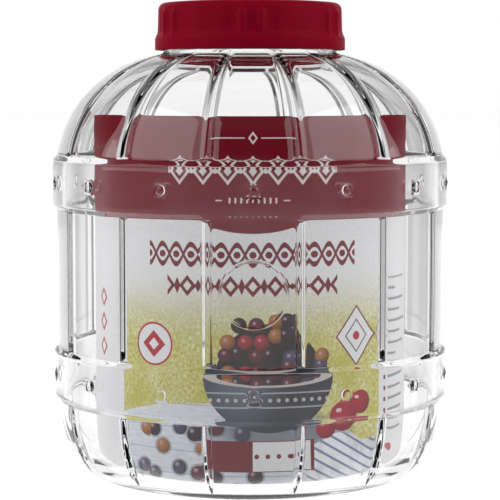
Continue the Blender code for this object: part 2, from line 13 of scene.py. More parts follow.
import bpy
import numpy as np
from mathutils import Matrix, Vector


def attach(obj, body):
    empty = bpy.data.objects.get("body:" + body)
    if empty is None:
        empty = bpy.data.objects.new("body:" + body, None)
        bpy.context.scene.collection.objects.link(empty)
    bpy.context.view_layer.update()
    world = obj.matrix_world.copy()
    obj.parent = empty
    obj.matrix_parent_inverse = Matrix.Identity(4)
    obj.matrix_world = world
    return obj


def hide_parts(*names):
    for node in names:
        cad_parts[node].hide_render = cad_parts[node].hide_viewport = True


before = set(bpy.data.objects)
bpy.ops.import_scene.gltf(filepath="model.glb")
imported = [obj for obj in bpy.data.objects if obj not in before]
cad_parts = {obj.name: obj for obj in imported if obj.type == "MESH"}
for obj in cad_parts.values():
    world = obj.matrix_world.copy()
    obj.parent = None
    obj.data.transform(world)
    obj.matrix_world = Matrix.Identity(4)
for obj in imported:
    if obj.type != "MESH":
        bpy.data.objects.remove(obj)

Array = np.ndarray
Node = bpy.types.Node
Socket = bpy.types.NodeSocket
Source = Socket | Node
Outputs = bpy.types.NodeOutputs
Tree = bpy.types.NodeTree
Mesh = bpy.types.Mesh
Object = bpy.types.Object
Pair = tuple[float, float]
Point = tuple[float, float, float]
Colour = tuple[float, float, float, float]
log = logging.getLogger("fermentation_jar")

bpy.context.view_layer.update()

FRONT_ANGLE = -pi / 2
MILLIMETRE = 0.001
TINY = 1e-6
SHARP_EDGE = radians(50)
WHITE = (1.0, 1.0, 1.0, 1.0)
# The setting of the nodes that change a range with level ends
SMOOTH = {"interpolation_type": "SMOOTHSTEP"}


def linear(code: str) -> Colour:
    """Turns an sRGB hex colour such as #7A0520 into linear red, green, blue and alpha.

    Args:
        code: The colour as six hex digits after a hash sign.

    Returns:
        The four linear values that a shader's socket takes.
    """
    shares = [int(code[start:start + 2], 16) / 255 for start in (1, 3, 5)]
    red, green, blue = [s / 12.92 if s <= 0.04045 else ((s + 0.055) / 1.055) ** 2.4 for s in shares]
    return red, green, blue, 1.0


def add_node(tree: Tree, kind: str, inputs: dict | None = None, **settings) -> Node:
    """Adds one shader node, with its settings and its links.

    Args:
        tree: The node tree that gets the node.
        kind: The node's type without its ShaderNode prefix, such as Math.
        inputs: What goes in each input, by name or number: a value, a colour's hex code, a socket, or a node
            for its first output in use.
        settings: Properties of the node itself, such as operation.

    Returns:
        The new node.
    """
    node = tree.nodes.new("ShaderNode" + kind)
    for name, value in settings.items():
        setattr(node, name, value)
    for key, value in (inputs or {}).items():
        if isinstance(value, str):
            value = linear(value)
        if isinstance(value, Node):
            value = next(output for output in value.outputs if output.enabled)
        if isinstance(value, Socket):
            tree.links.new(value, node.inputs[key])
        else:
            node.inputs[key].default_value = value
    return node


def show(name: str, data: bpy.types.ID) -> Object:
    """Makes an object and puts it in the scene.

    Args:
        name: The object's name.
        data: Its mesh, lamp or camera.

    Returns:
        The object.
    """
    made = bpy.data.objects.new(name, data)
    bpy.context.scene.collection.objects.link(made)
    return made


def outline_rows(radius: Array | float, height: Array | float) -> Array:
    """Rows of (radius, height), where either may be one value for all."""
    return np.stack(np.broadcast_arrays(radius, height), axis=-1)


def about_z(radius: Array | float, angles: Array, height: Array | float) -> Array:
    """Points about Z: x = r cos a, y = r sin a, z = height, where one value may stand for all."""
    return np.stack(np.broadcast_arrays(radius * np.cos(angles), radius * np.sin(angles), height), axis=-1)


def turn_from(middle: float, angles: Array) -> Array:
    """How far angles lie from a middle one, from minus half a turn to half a turn."""
    return np.mod(angles - middle + pi, tau) - pi


def arc(centre: Pair, wide: float, high: float, start: float, end: float, count: int) -> Array:
    """Points on part of an ellipse: centre + (wide cos a, high sin a), for even steps of the angle a.

    Args:
        centre: Radius and height of the ellipse's centre.
        wide: Its half width.
        high: Its half height.
        start: The first angle from level.
        end: The last angle.
        count: How many steps lie between them.

    Returns:
        An array of (radius, height) rows.
    """
    angles = np.linspace(start, end, count + 1)
    return outline_rows(centre[0] + wide * np.cos(angles), centre[1] + high * np.sin(angles))


def smooth_max(first: Array, second: Array, soft: float) -> Array:
    """The larger of two values with a rounded change between them: half of a + b + sqrt((a - b)^2 + s^2)."""
    return (first + second + np.sqrt((first - second) ** 2 + soft**2)) / 2


def smooth_step(values: Array) -> Array:
    """Rises from 0 to 1 as 3t^2 - 2t^3, and is level outside."""
    held = np.clip(values, 0, 1)
    return held * held * (3 - 2 * held)


class Shell:
    """One closed surface, put together from grids of points, fans and strips."""

    def __init__(self) -> None:
        """Starts with no points and no faces."""
        self.points: list[Array] = []
        self.faces: list[Array] = []
        self.count = 0

    def add(self, points: Array) -> Array:
        """Adds points.

        Args:
            points: An array whose last axis is x, y, z.

        Returns:
            The points' numbers, in the shape of the array without its last axis.
        """
        flat = points.reshape(-1, 3)
        numbers = np.arange(self.count, self.count + len(flat)).reshape(points.shape[:-1])
        self.points.append(flat)
        self.count += len(flat)
        return numbers

    def skin(
        self, rows: Array, inwards: bool = False, keep: Array | None = None, open_rows: bool = False
    ) -> None:
        """Adds the quads between neighbouring rows of numbers.

        Args:
            rows: Point numbers, one row a ring, which run downwards and to the left about +Z.
            inwards: True where the faces look the other way.
            keep: Which quads to add, or all of them.
            open_rows: True where a row isn't joined end to start.
        """
        right = rows if not open_rows else rows[:, :-1]
        left = np.roll(rows, -1, axis=1) if not open_rows else rows[:, 1:]
        quads = np.stack([right[:-1], right[1:], left[1:], left[:-1]], axis=-1)
        quads = quads.reshape(-1, 4) if keep is None else quads[keep]
        self.faces.append(quads[:, ::-1] if inwards else quads)

    def fan(self, ring: Array, pole: Point, inwards: bool = False) -> None:
        """Closes a ring with triangles to one point below it.

        Args:
            ring: Point numbers of the ring, to the left about +Z.
            pole: Where the point lies.
            inwards: True where the faces look the other way.
        """
        tip = self.add(np.array([pole]))[0]
        triangles = np.stack([ring, np.full_like(ring, tip), np.roll(ring, -1)], axis=-1)
        self.faces.append(triangles[:, ::-1] if inwards else triangles)

    def zip_up(self, outer: Array, outer_angles: Array, inner: Array, inner_angles: Array) -> None:
        """Joins two rings of unlike counts on a level face with triangles that look up.

        Each edge of one ring goes to the last point of the other ring that comes before the edge's end.

        Args:
            outer: Point numbers of the outer ring.
            outer_angles: Their angles, rising from 0 and under a full turn.
            inner: Point numbers of the inner ring.
            inner_angles: Their angles, which start at 0.
        """
        near_inner = inner[np.searchsorted(inner_angles, outer_angles, side="right") - 1]
        near_outer = outer[np.searchsorted(outer_angles, inner_angles, side="left") - 1]
        self.faces.append(np.stack([np.roll(outer, 1), outer, near_inner], axis=-1))
        self.faces.append(np.stack([inner, np.roll(inner, 1), near_outer], axis=-1))

    def mesh(self, name: str, sharp: float | None = None) -> Mesh:
        """Makes Blender's mesh of the surface, shaded smooth.

        Args:
            name: The mesh's name.
            sharp: Edges that turn by more than this angle stay sharp.

        Returns:
            The mesh.
        """
        made = bpy.data.meshes.new(name)
        used = np.unique(np.concatenate([group.ravel() for group in self.faces]))
        renumbered = np.zeros(self.count, int)
        renumbered[used] = np.arange(len(used))
        faces = [face for group in self.faces for face in renumbered[group].tolist()]
        made.from_pydata(np.concatenate(self.points)[used].tolist(), [], faces)
        made.shade_smooth()
        if sharp is not None:
            made.set_sharp_from_angle(angle=sharp)
        return made


def turned_rows(outline: Array, angles: Array) -> Array:
    """Turns an outline of (radius, height) rows about Z, into points by row and column."""
    return about_z(outline[:, 0, None], angles, outline[:, 1, None])


def even_angles(count: int) -> Array:
    """Angles that share a full turn evenly."""
    return np.arange(count) * tau / count


def line_normals(line: Array) -> Array:
    """Unit normals of a flat line. On an outline that runs downwards they point out of it.

    Args:
        line: Rows of two values, such as (radius, height).

    Returns:
        One normal a row.
    """
    along = np.gradient(line, axis=0)
    along /= np.linalg.norm(along, axis=1, keepdims=True)
    return np.stack([-along[:, 1], along[:, 0]], axis=-1)


def rounded(outline: Array | list[Pair], corners: dict[int, float], steps: int) -> Array:
    """Rounds chosen corners of an outline: the corner gives way to a curve p = (1-t)^2 a + 2t(1-t) c + t^2 b.

    Args:
        outline: (radius, height) rows.
        corners: How far along both sides each rounded corner reaches, by the corner's number.
        steps: How many steps each curve has.

    Returns:
        The new outline.
    """
    outline = np.array(outline)
    share = np.linspace(0, 1, steps + 1)[:, None]
    parts = []
    for number, point in enumerate(outline):
        reach = corners.get(number)
        if reach is None:
            parts.append(point[None])
            continue
        before = outline[number - 1] - point
        after = outline[(number + 1) % len(outline)] - point
        start = point + before / np.linalg.norm(before) * reach
        end = point + after / np.linalg.norm(after) * reach
        parts.append((1 - share) ** 2 * start + 2 * share * (1 - share) * point + share**2 * end)
    return np.concatenate(parts)


@dataclass(frozen=True)
class Thread:
    """A right-hand screw thread: a ridge along height = bottom + pitch times turns, from angle 0 on."""

    bottom: float
    turns: float
    depth: float
    root: float
    crest: float
    pitch: float = 0.0060
    # Over how much of a turn it rises at each end
    run_out: float = 0.06

    def ridge(self, height: Array, angles: Array) -> Array:
        """How far the ridge stands out.

        Args:
            height: Heights, one row each.
            angles: Angles by column, or by row and column.

        Returns:
            The stand-out by row and column.
        """
        found = np.zeros((len(height), angles.shape[-1]))
        for lap in range(2):
            turns = np.mod(angles, tau) / tau + lap
            away = np.abs(height - self.bottom - self.pitch * turns)
            side = (self.root / 2 - away) / ((self.root - self.crest) / 2)
            ends = np.minimum(turns, self.turns - turns) / self.run_out
            found = np.maximum(found, self.depth * smooth_step(side) * smooth_step(ends))
        return found


class Finish:
    """What every finish has: a name, and a surface that its material shows."""

    name: str

    def surface(self, tree: Tree) -> Node:
        """Adds the finish's shader nodes to a tree and hands back the last."""
        raise NotImplementedError

    def material(self) -> bpy.types.Material:
        """Makes the material.

        Returns:
            The material, under the finish's name.
        """
        made = bpy.data.materials.new(self.name)
        made.use_nodes = True
        tree = made.node_tree
        tree.nodes.clear()
        add_node(tree, "OutputMaterial", {"Surface": self.surface(tree)})
        return made


@dataclass(frozen=True)
class ClearGlass(Finish):
    """Soda-lime glass, pressed and fire-polished: clear, with hard-edged reflections and faintly grey."""

    name: str = "soda_lime_glass"
    tint: str = "#FCFCFC"
    shade_tint: str = "#F5F5F5"
    ior: float = 1.5
    roughness: float = 0.0

    def surface(self, tree: Tree) -> Node:
        """Clear glass that lets the lamps through to what stands behind it.

        Args:
            tree: The material's node tree.

        Returns:
            The last shader node.
        """
        looks = {
            "Base Color": self.tint,
            "Roughness": self.roughness,
            "IOR": self.ior,
            "Transmission Weight": 1.0,
        }
        glass = add_node(tree, "BsdfPrincipled", looks)
        path = add_node(tree, "LightPath").outputs
        rays = {0: path["Is Shadow Ray"], 1: path["Is Diffuse Ray"]}
        lamps = add_node(tree, "Math", rays, operation="MAXIMUM")
        clear = add_node(tree, "BsdfTransparent", {"Color": self.shade_tint})
        return add_node(tree, "MixShader", {0: lamps, 1: glass, 2: clear})


@dataclass(frozen=True)
class ClearPlastic(ClearGlass):
    """Blown polystyrene: as the jar's glass, with plastic's index and a little haze."""

    name: str = "clear_polystyrene"
    tint: str = "#F4F8F8"
    shade_tint: str = "#EEF2F2"
    ior: float = 1.59
    roughness: float = 0.03


@dataclass(frozen=True)
class SatinPlastic(Finish):
    """Polypropylene moulded in a fine-etched tool: even colour, broad soft highlights and a faint grain."""

    name: str
    colour: str
    deep_colour: str
    roughness: float = 0.40
    # How far the gloss strays, as shares of the roughness
    gloss_range: Pair = (0.85, 1.2)
    ior: float = 1.49
    sheen: float = 0.015
    grain: float = 0.5 * MILLIMETRE
    relief: float = 0.012 * MILLIMETRE
    relief_strength: float = 0.6
    # How many grains wide a flow mark is
    flow: int = 60

    def surface(self, tree: Tree) -> Node:
        """Slow flow marks in the colour and a fine grain in the gloss and surface.

        Args:
            tree: The material's node tree.

        Returns:
            The last shader node.
        """
        spot = add_node(tree, "TexCoord").outputs["Object"]
        flow_scale = 1 / (self.flow * self.grain)
        flow = add_node(tree, "TexNoise", {"Vector": spot, "Scale": flow_scale, "Detail": 2.0})
        colour = add_node(tree, "Mix", {0: flow, 6: self.colour, 7: self.deep_colour}, data_type="RGBA")
        grain = add_node(tree, "TexNoise", {"Vector": spot, "Scale": 1 / self.grain, "Detail": 1.0})
        low, high = (self.roughness * share for share in self.gloss_range)
        bump = {"Height": grain, "Distance": self.relief, "Strength": self.relief_strength}
        looks = {
            "Base Color": colour,
            "Roughness": add_node(tree, "MapRange", {0: grain, 3: low, 4: high}),
            "IOR": self.ior,
            "Specular IOR Level": self.sheen,
            "Normal": add_node(tree, "Bump", bump),
        }
        return add_node(tree, "BsdfPrincipled", looks)


@dataclass(frozen=True)
class SoftFoam(Finish):
    """Expanded polyethylene foam: matt white with fine closed cells."""

    name: str = "polyethylene_foam"
    colour: str = "#E9E7E0"
    cell_colour: str = "#D6D3C9"
    roughness: float = 0.75
    ior: float = 1.45
    cell: float = 0.45 * MILLIMETRE
    relief_strength: float = 0.5

    def surface(self, tree: Tree) -> Node:
        """Cells drawn by their distance, in colour and relief.

        Args:
            tree: The material's node tree.

        Returns:
            The last shader node.
        """
        spot = add_node(tree, "TexCoord").outputs["Object"]
        cells = add_node(tree, "TexVoronoi", {"Vector": spot, "Scale": 1 / self.cell})
        colour = add_node(tree, "Mix", {0: cells, 6: self.colour, 7: self.cell_colour}, data_type="RGBA")
        relief = {"Height": cells, "Distance": self.cell / 8, "Strength": self.relief_strength}
        bump = add_node(tree, "Bump", relief, invert=True)
        looks = {"Base Color": colour, "Roughness": self.roughness, "IOR": self.ior, "Normal": bump}
        return add_node(tree, "BsdfPrincipled", looks)


@dataclass(frozen=True)
class MattRubber(Finish):
    """Moulded natural rubber: dark red, matt, with a bloom that pales it in patches."""

    name: str = "moulded_rubber"
    colour: str = "#5A0C18"
    bloom_colour: str = "#6F2A30"
    roughness: float = 0.62
    ior: float = 1.52
    bloom: float = 3.0 * MILLIMETRE
    # The noise at which the bloom starts and is full
    bloom_range: Pair = (0.45, 0.75)
    grain: float = 0.25 * MILLIMETRE
    relief_strength: float = 0.6

    def surface(self, tree: Tree) -> Node:
        """Patchy bloom in the colour and a fine matt grain.

        Args:
            tree: The material's node tree.

        Returns:
            The last shader node.
        """
        spot = add_node(tree, "TexCoord").outputs["Object"]
        patches = add_node(tree, "TexNoise", {"Vector": spot, "Scale": 1 / self.bloom, "Detail": 3.0})
        low, high = self.bloom_range
        share = add_node(tree, "MapRange", {0: patches, 1: low, 2: high})
        colour = add_node(tree, "Mix", {0: share, 6: self.colour, 7: self.bloom_colour}, data_type="RGBA")
        grain = add_node(tree, "TexNoise", {"Vector": spot, "Scale": 1 / self.grain})
        relief = {"Height": grain, "Distance": self.grain / 10, "Strength": self.relief_strength}
        bump = add_node(tree, "Bump", relief)
        looks = {"Base Color": colour, "Roughness": self.roughness, "IOR": self.ior, "Normal": bump}
        return add_node(tree, "BsdfPrincipled", looks)


@dataclass(frozen=True)
class PaleFloor(Finish):
    """The studio's floor: white to the camera, where only the jar's shadow shows, and matt to the rest."""

    name: str = "pale_floor"
    level: float = 0.4
    glow: float = 0.9
    # What the glass mirrors of the floor, on top of its matt light
    mirrored_glow: float = 0.7

    def surface(self, tree: Tree) -> Node:
        """A matt shader with one glow for the camera and one for what the glass mirrors sharply.

        Args:
            tree: The material's node tree.

        Returns:
            The last shader node.
        """
        matt = add_node(tree, "BsdfDiffuse", {"Color": (self.level, self.level, self.level, 1.0)})
        glow = add_node(tree, "Emission", {"Color": WHITE, "Strength": self.glow})
        seen = add_node(tree, "AddShader", {0: matt, 1: glow})
        path = add_node(tree, "LightPath").outputs
        rays = {0: path["Is Glossy Ray"], 1: path["Is Singular Ray"]}
        sharp = add_node(tree, "Math", rays, operation="MULTIPLY")
        mirrored = add_node(tree, "Math", {0: sharp, 1: self.mirrored_glow}, operation="MULTIPLY")
        sheen = add_node(tree, "Emission", {"Color": WHITE, "Strength": mirrored})
        lit = add_node(tree, "AddShader", {0: matt, 1: sheen})
        return add_node(tree, "MixShader", {0: path["Is Camera Ray"], 1: lit, 2: seen})


class Ink(str, Enum):
    """The card's inks and grounds."""

    PAPER = "#D6D6D8"
    BARE_BOARD = "#C6C3BB"
    GRAIN = "#E2E2E3"
    BAND = "#6C081B"
    PALE = "#CFC6C2"
    GREY = "#6F6A6C"
    RED = "#A8182A"
    GREEN = "#5E8F4E"
    SUNLIT_GRASS = "#DCD8A8"
    GRASS = "#BDB75A"
    SHADED_GRASS = "#A8A24C"
    TABLE = "#C4C9D1"
    PLANK = "#8E97A6"
    SHADOW = "#3A4254"
    CLOTH = "#DEE0E6"
    STRIPE = "#3D4C82"
    GLAZE = "#2A2D38"
    LIT_GLAZE = "#5C6577"
    GAP = "#150C12"
    GLEAM = "#A78F9C"


class Motif(Enum):
    """A printed motif's outline: how its offsets across and up, each in half sizes, combine to reach 1."""

    BAR = "MAXIMUM"
    LOZENGE = "ADD"
    OVAL = "LENGTH"


@dataclass(frozen=True)
class Mark:
    """A printed mark: one motif in one ink, filled or drawn as a line, alone or in a row of copies."""

    ink: Ink
    motif: Motif
    centre: Pair
    half_size: Pair
    # The line's width as a share of the half size, or 0 where the mark is filled
    line: float = 0.0
    # How far the copies lie apart, or 0 for one alone, and how far their row is moved to the right
    spacing: float = 0.0
    shift: float = 0.0
    # The centre and half size of the bar that a row is cut to
    room: tuple[Pair, Pair] | None = None


class Sheet:
    """A curled sheet while it is printed: places on it, masks of motifs and the inks laid so far.

    Places are millimetres on the flat sheet: across from the middle of its front, and up from the jar's foot.
    """

    def __init__(self, tree: Tree, radius: float) -> None:
        """Works out the place on the sheet: across = radius times the angle from the front, and up = height.

        Args:
            tree: The node tree that the sheet's nodes go in.
            radius: The radius that the sheet is curled to.
        """
        self.tree = tree
        axes = self.add("SeparateXYZ", {0: self.add("TexCoord").outputs["Object"]}).outputs
        front = self.add("Math", {0: axes["Y"], 1: -1.0}, operation="MULTIPLY")
        angle = self.add("Math", {0: axes["X"], 1: front}, operation="ARCTAN2")
        self.across = self.add("Math", {0: angle, 1: radius / MILLIMETRE}, operation="MULTIPLY")
        self.up = self.add("Math", {0: axes["Z"], 1: 1 / MILLIMETRE}, operation="MULTIPLY")
        self.spot = self.add("CombineXYZ", {0: self.across, 1: self.up})
        wide, deep = (self.add("Math", {0: axes[axis], 1: 2.0}, operation="POWER") for axis in "XY")
        self.axis_square = self.add("Math", {0: wide, 1: deep}, operation="ADD")
        self.colour: Source | Ink = Ink.PAPER

    def add(self, kind: str, inputs: dict | None = None, **settings) -> Node:
        """Adds a node to the sheet's tree, as add_node does."""
        return add_node(self.tree, kind, inputs, **settings)

    def lay(self, ink: Source | Ink, mask: Source, share: float = 1.0, blend: str = "MIX") -> None:
        """Lays an ink over what is printed so far.

        Args:
            ink: The ink, or what gives its colour.
            mask: 1 where the ink goes, 0 where it doesn't.
            share: How much of the ground the ink hides.
            blend: How the ink takes to the ground: MIX hides it, MULTIPLY darkens it.
        """
        if share < 1:
            mask = self.add("Math", {0: mask, 1: share}, operation="MULTIPLY")
        self.colour = self.add("Mix", {0: mask, 6: self.colour, 7: ink}, data_type="RGBA", blend_type=blend)

    def lay_marks(self, marks: Iterable[Mark]) -> None:
        """Lays marks in their order.

        Args:
            marks: The marks, each over those before it.
        """
        for mark in marks:
            spot = self.repeated(mark.spacing, mark.shift) if mark.spacing else self.spot
            if mark.line:
                mask = self.outlined(mark.motif, mark.centre, mark.half_size, mark.line, spot)
            else:
                mask = self.filled(mark.motif, mark.centre, mark.half_size, spot)
            if mark.room:
                mask = self.meet(mask, self.filled(Motif.BAR, *mark.room))
            self.lay(mark.ink, mask)

    def repeated(self, spacing: float, shift: float = 0.0) -> Node:
        """A place that starts again every spacing across, for rows of one motif about 0.

        Args:
            spacing: How far the copies lie apart.
            shift: How far the whole row is moved to the right.

        Returns:
            The repeated place.
        """
        moved = self.add("Math", {0: self.across, 1: -shift}, operation="ADD")
        again = self.add("Math", {0: moved, 1: spacing / 2, 2: -spacing / 2}, operation="WRAP")
        return self.add("CombineXYZ", {0: again, 1: self.up})

    def reach(self, motif: Motif, centre: Pair, half_size: Pair, spot: Source | None = None) -> Node:
        """How far a place is from a motif's centre: 0 there and 1 at its outline.

        Args:
            motif: The motif's outline.
            centre: Its centre across and up.
            half_size: Half its width and height.
            spot: A repeated place, or the sheet's own.

        Returns:
            The distance as a share of the motif's size.
        """
        offset = self.add("VectorMath", {0: spot or self.spot, 1: (*centre, 0.0)}, operation="SUBTRACT")
        scaled = self.add("VectorMath", {0: offset, 1: (*half_size, 1.0)}, operation="DIVIDE")
        if motif is Motif.OVAL:
            return self.add("VectorMath", {0: scaled}, operation=motif.value)
        sizes = self.add("VectorMath", {0: scaled}, operation="ABSOLUTE")
        axes = self.add("SeparateXYZ", {0: sizes}).outputs
        return self.add("Math", {0: axes["X"], 1: axes["Y"]}, operation=motif.value)

    def filled(self, motif: Motif, centre: Pair, half_size: Pair, spot: Source | None = None) -> Node:
        """The mask of a filled motif: where its reach is under 1."""
        reach = self.reach(motif, centre, half_size, spot)
        return self.add("Math", {0: reach, 1: 1.0}, operation="LESS_THAN")

    def outlined(
        self, motif: Motif, centre: Pair, half_size: Pair, line: float, spot: Source | None = None
    ) -> Node:
        """The mask of a motif's outline: where its reach is within the line's share of 1."""
        reach = self.reach(motif, centre, half_size, spot)
        return self.add("Math", {0: reach, 1: 1 - line / 2, 2: line / 2}, operation="COMPARE")

    def meet(self, *masks: Source) -> Source:
        """Where all of some masks lie: their product.

        Args:
            masks: One mask or more.

        Returns:
            The mask of the place that they share.
        """
        found = masks[0]
        for mask in masks[1:]:
            found = self.add("Math", {0: found, 1: mask}, operation="MULTIPLY")
        return found

    def striped(self, place: Source, spacing: float, half_line: float) -> Node:
        """The mask of level stripes: where a place, wrapped at the spacing, is within half a line of 0."""
        wrapped = self.add("Math", {0: place, 1: spacing / 2, 2: -spacing / 2}, operation="WRAP")
        return self.add("Math", {0: wrapped, 1: 0.0, 2: half_line}, operation="COMPARE")

    def speckle(self, size: float, low: float, high: float, stretch: float = 1.0) -> Node:
        """Soft patches of noise, from 0 to 1.

        Args:
            size: A patch's width.
            low: The noise that becomes 0.
            high: The noise that becomes 1.
            stretch: How much taller than wide a patch is.

        Returns:
            The patches' strength.
        """
        scale = (1 / size, 1 / size / stretch, 0.0)
        spot = self.add("VectorMath", {0: self.spot, 1: scale}, operation="MULTIPLY")
        noise = self.add("TexNoise", {"Vector": spot, "Scale": 1.0, "Detail": 3.0})
        return self.add("MapRange", {0: noise, 1: low, 2: high})


# A round medal to the left and a lozenge to the right, both with bare middles
BADGES = (
    Mark(Ink.PAPER, Motif.OVAL, (-57.0, 84.0), (12.0, 12.0)),
    Mark(Ink.RED, Motif.OVAL, (-57.0, 84.0), (12.0, 12.0), line=0.09),
    Mark(Ink.RED, Motif.LOZENGE, (-57.0, 84.0), (7.5, 7.5)),
    Mark(Ink.PAPER, Motif.LOZENGE, (-57.0, 84.0), (3.4, 3.4)),
    Mark(Ink.PAPER, Motif.LOZENGE, (61.0, 88.0), (14.0, 17.0)),
    Mark(Ink.BAND, Motif.LOZENGE, (61.0, 88.0), (14.0, 17.0), line=0.08),
    Mark(Ink.GREY, Motif.LOZENGE, (61.0, 88.0), (8.0, 9.6), line=0.14),
    Mark(Ink.RED, Motif.OVAL, (61.0, 88.0), (2.4, 2.4)),
)
# A bare plaque in two tones near the bottom, with a row of dots
DOT_ROOM = ((14.0, 24.0), (15.0, 4.0))
PLAQUE = (
    Mark(Ink.PAPER, Motif.BAR, (3.0, 24.0), (31.0, 8.6)),
    Mark(Ink.BAND, Motif.BAR, (-14.05, 24.0), (13.95, 8.6)),
    Mark(Ink.BAND, Motif.BAR, (3.0, 24.0), (31.0, 8.6), line=0.06),
    Mark(Ink.BAND, Motif.OVAL, (0.0, 24.0), (1.3, 1.3), spacing=6.0, shift=14.0, room=DOT_ROOM),
)
# Dots in the loops of the upper row, whose chain is drawn apart, and a lower row of lozenges
CHAIN_ROOM = ((0.0, 134.0), (59.5, 12.0))
LOWER_ROOM = ((0.0, 117.0), (48.0, 8.0))
ORNAMENTS = (
    Mark(Ink.BAND, Motif.OVAL, (0.0, 134.0), (1.9, 1.9), spacing=8.5, room=CHAIN_ROOM),
    Mark(Ink.BAND, Motif.LOZENGE, (0.0, 117.0), (4.8, 5.8), line=0.5, spacing=12.0, room=LOWER_ROOM),
    Mark(Ink.BAND, Motif.LOZENGE, (0.0, 117.0), (2.0, 4.6), spacing=12.0, shift=6.0, room=LOWER_ROOM),
)
# Two dots at the foot of the right panel, and three lozenges on the left one
SIDE_MARKS = (
    Mark(Ink.GREEN, Motif.OVAL, (88.0, 20.0), (2.0, 2.4)),
    Mark(Ink.RED, Motif.OVAL, (93.0, 20.0), (2.0, 2.4)),
    Mark(Ink.RED, Motif.LOZENGE, (-104.0, 78.0), (5.0, 5.6), line=0.4),
    Mark(Ink.RED, Motif.LOZENGE, (-104.0, 92.0), (5.0, 5.6), line=0.4),
    Mark(Ink.RED, Motif.LOZENGE, (-104.0, 106.0), (5.0, 5.6), line=0.4),
)
# On the dark band: a thin line about a lozenge, a pale row, and short ticks between two dashes
BAND_ROOM = ((0.0, 179.5), (46.9, 9.0))
TICK_ROOM = ((0.0, 163.5), (14.0, 4.0))
BAND_MARKS = (
    Mark(Ink.PALE, Motif.BAR, (-12.7, 196.5), (8.3, 0.32)),
    Mark(Ink.PALE, Motif.BAR, (12.7, 196.5), (8.3, 0.32)),
    Mark(Ink.PALE, Motif.LOZENGE, (0.0, 196.5), (2.6, 3.4), line=0.45),
    Mark(Ink.PALE, Motif.LOZENGE, (0.0, 179.5), (6.0, 7.8), line=0.3, spacing=13.4, room=BAND_ROOM),
    Mark(Ink.PALE, Motif.LOZENGE, (0.0, 179.5), (2.2, 2.9), spacing=13.4, room=BAND_ROOM),
    Mark(Ink.PALE, Motif.OVAL, (0.0, 179.5), (1.3, 1.3), spacing=13.4, shift=6.7, room=BAND_ROOM),
    Mark(Ink.PALE, Motif.BAR, (0.0, 163.5), (0.5, 1.5), spacing=3.1, room=TICK_ROOM),
    Mark(Ink.PALE, Motif.BAR, (-18.2, 163.5), (1.8, 0.35)),
    Mark(Ink.PALE, Motif.BAR, (18.2, 163.5), (1.8, 0.35)),
)


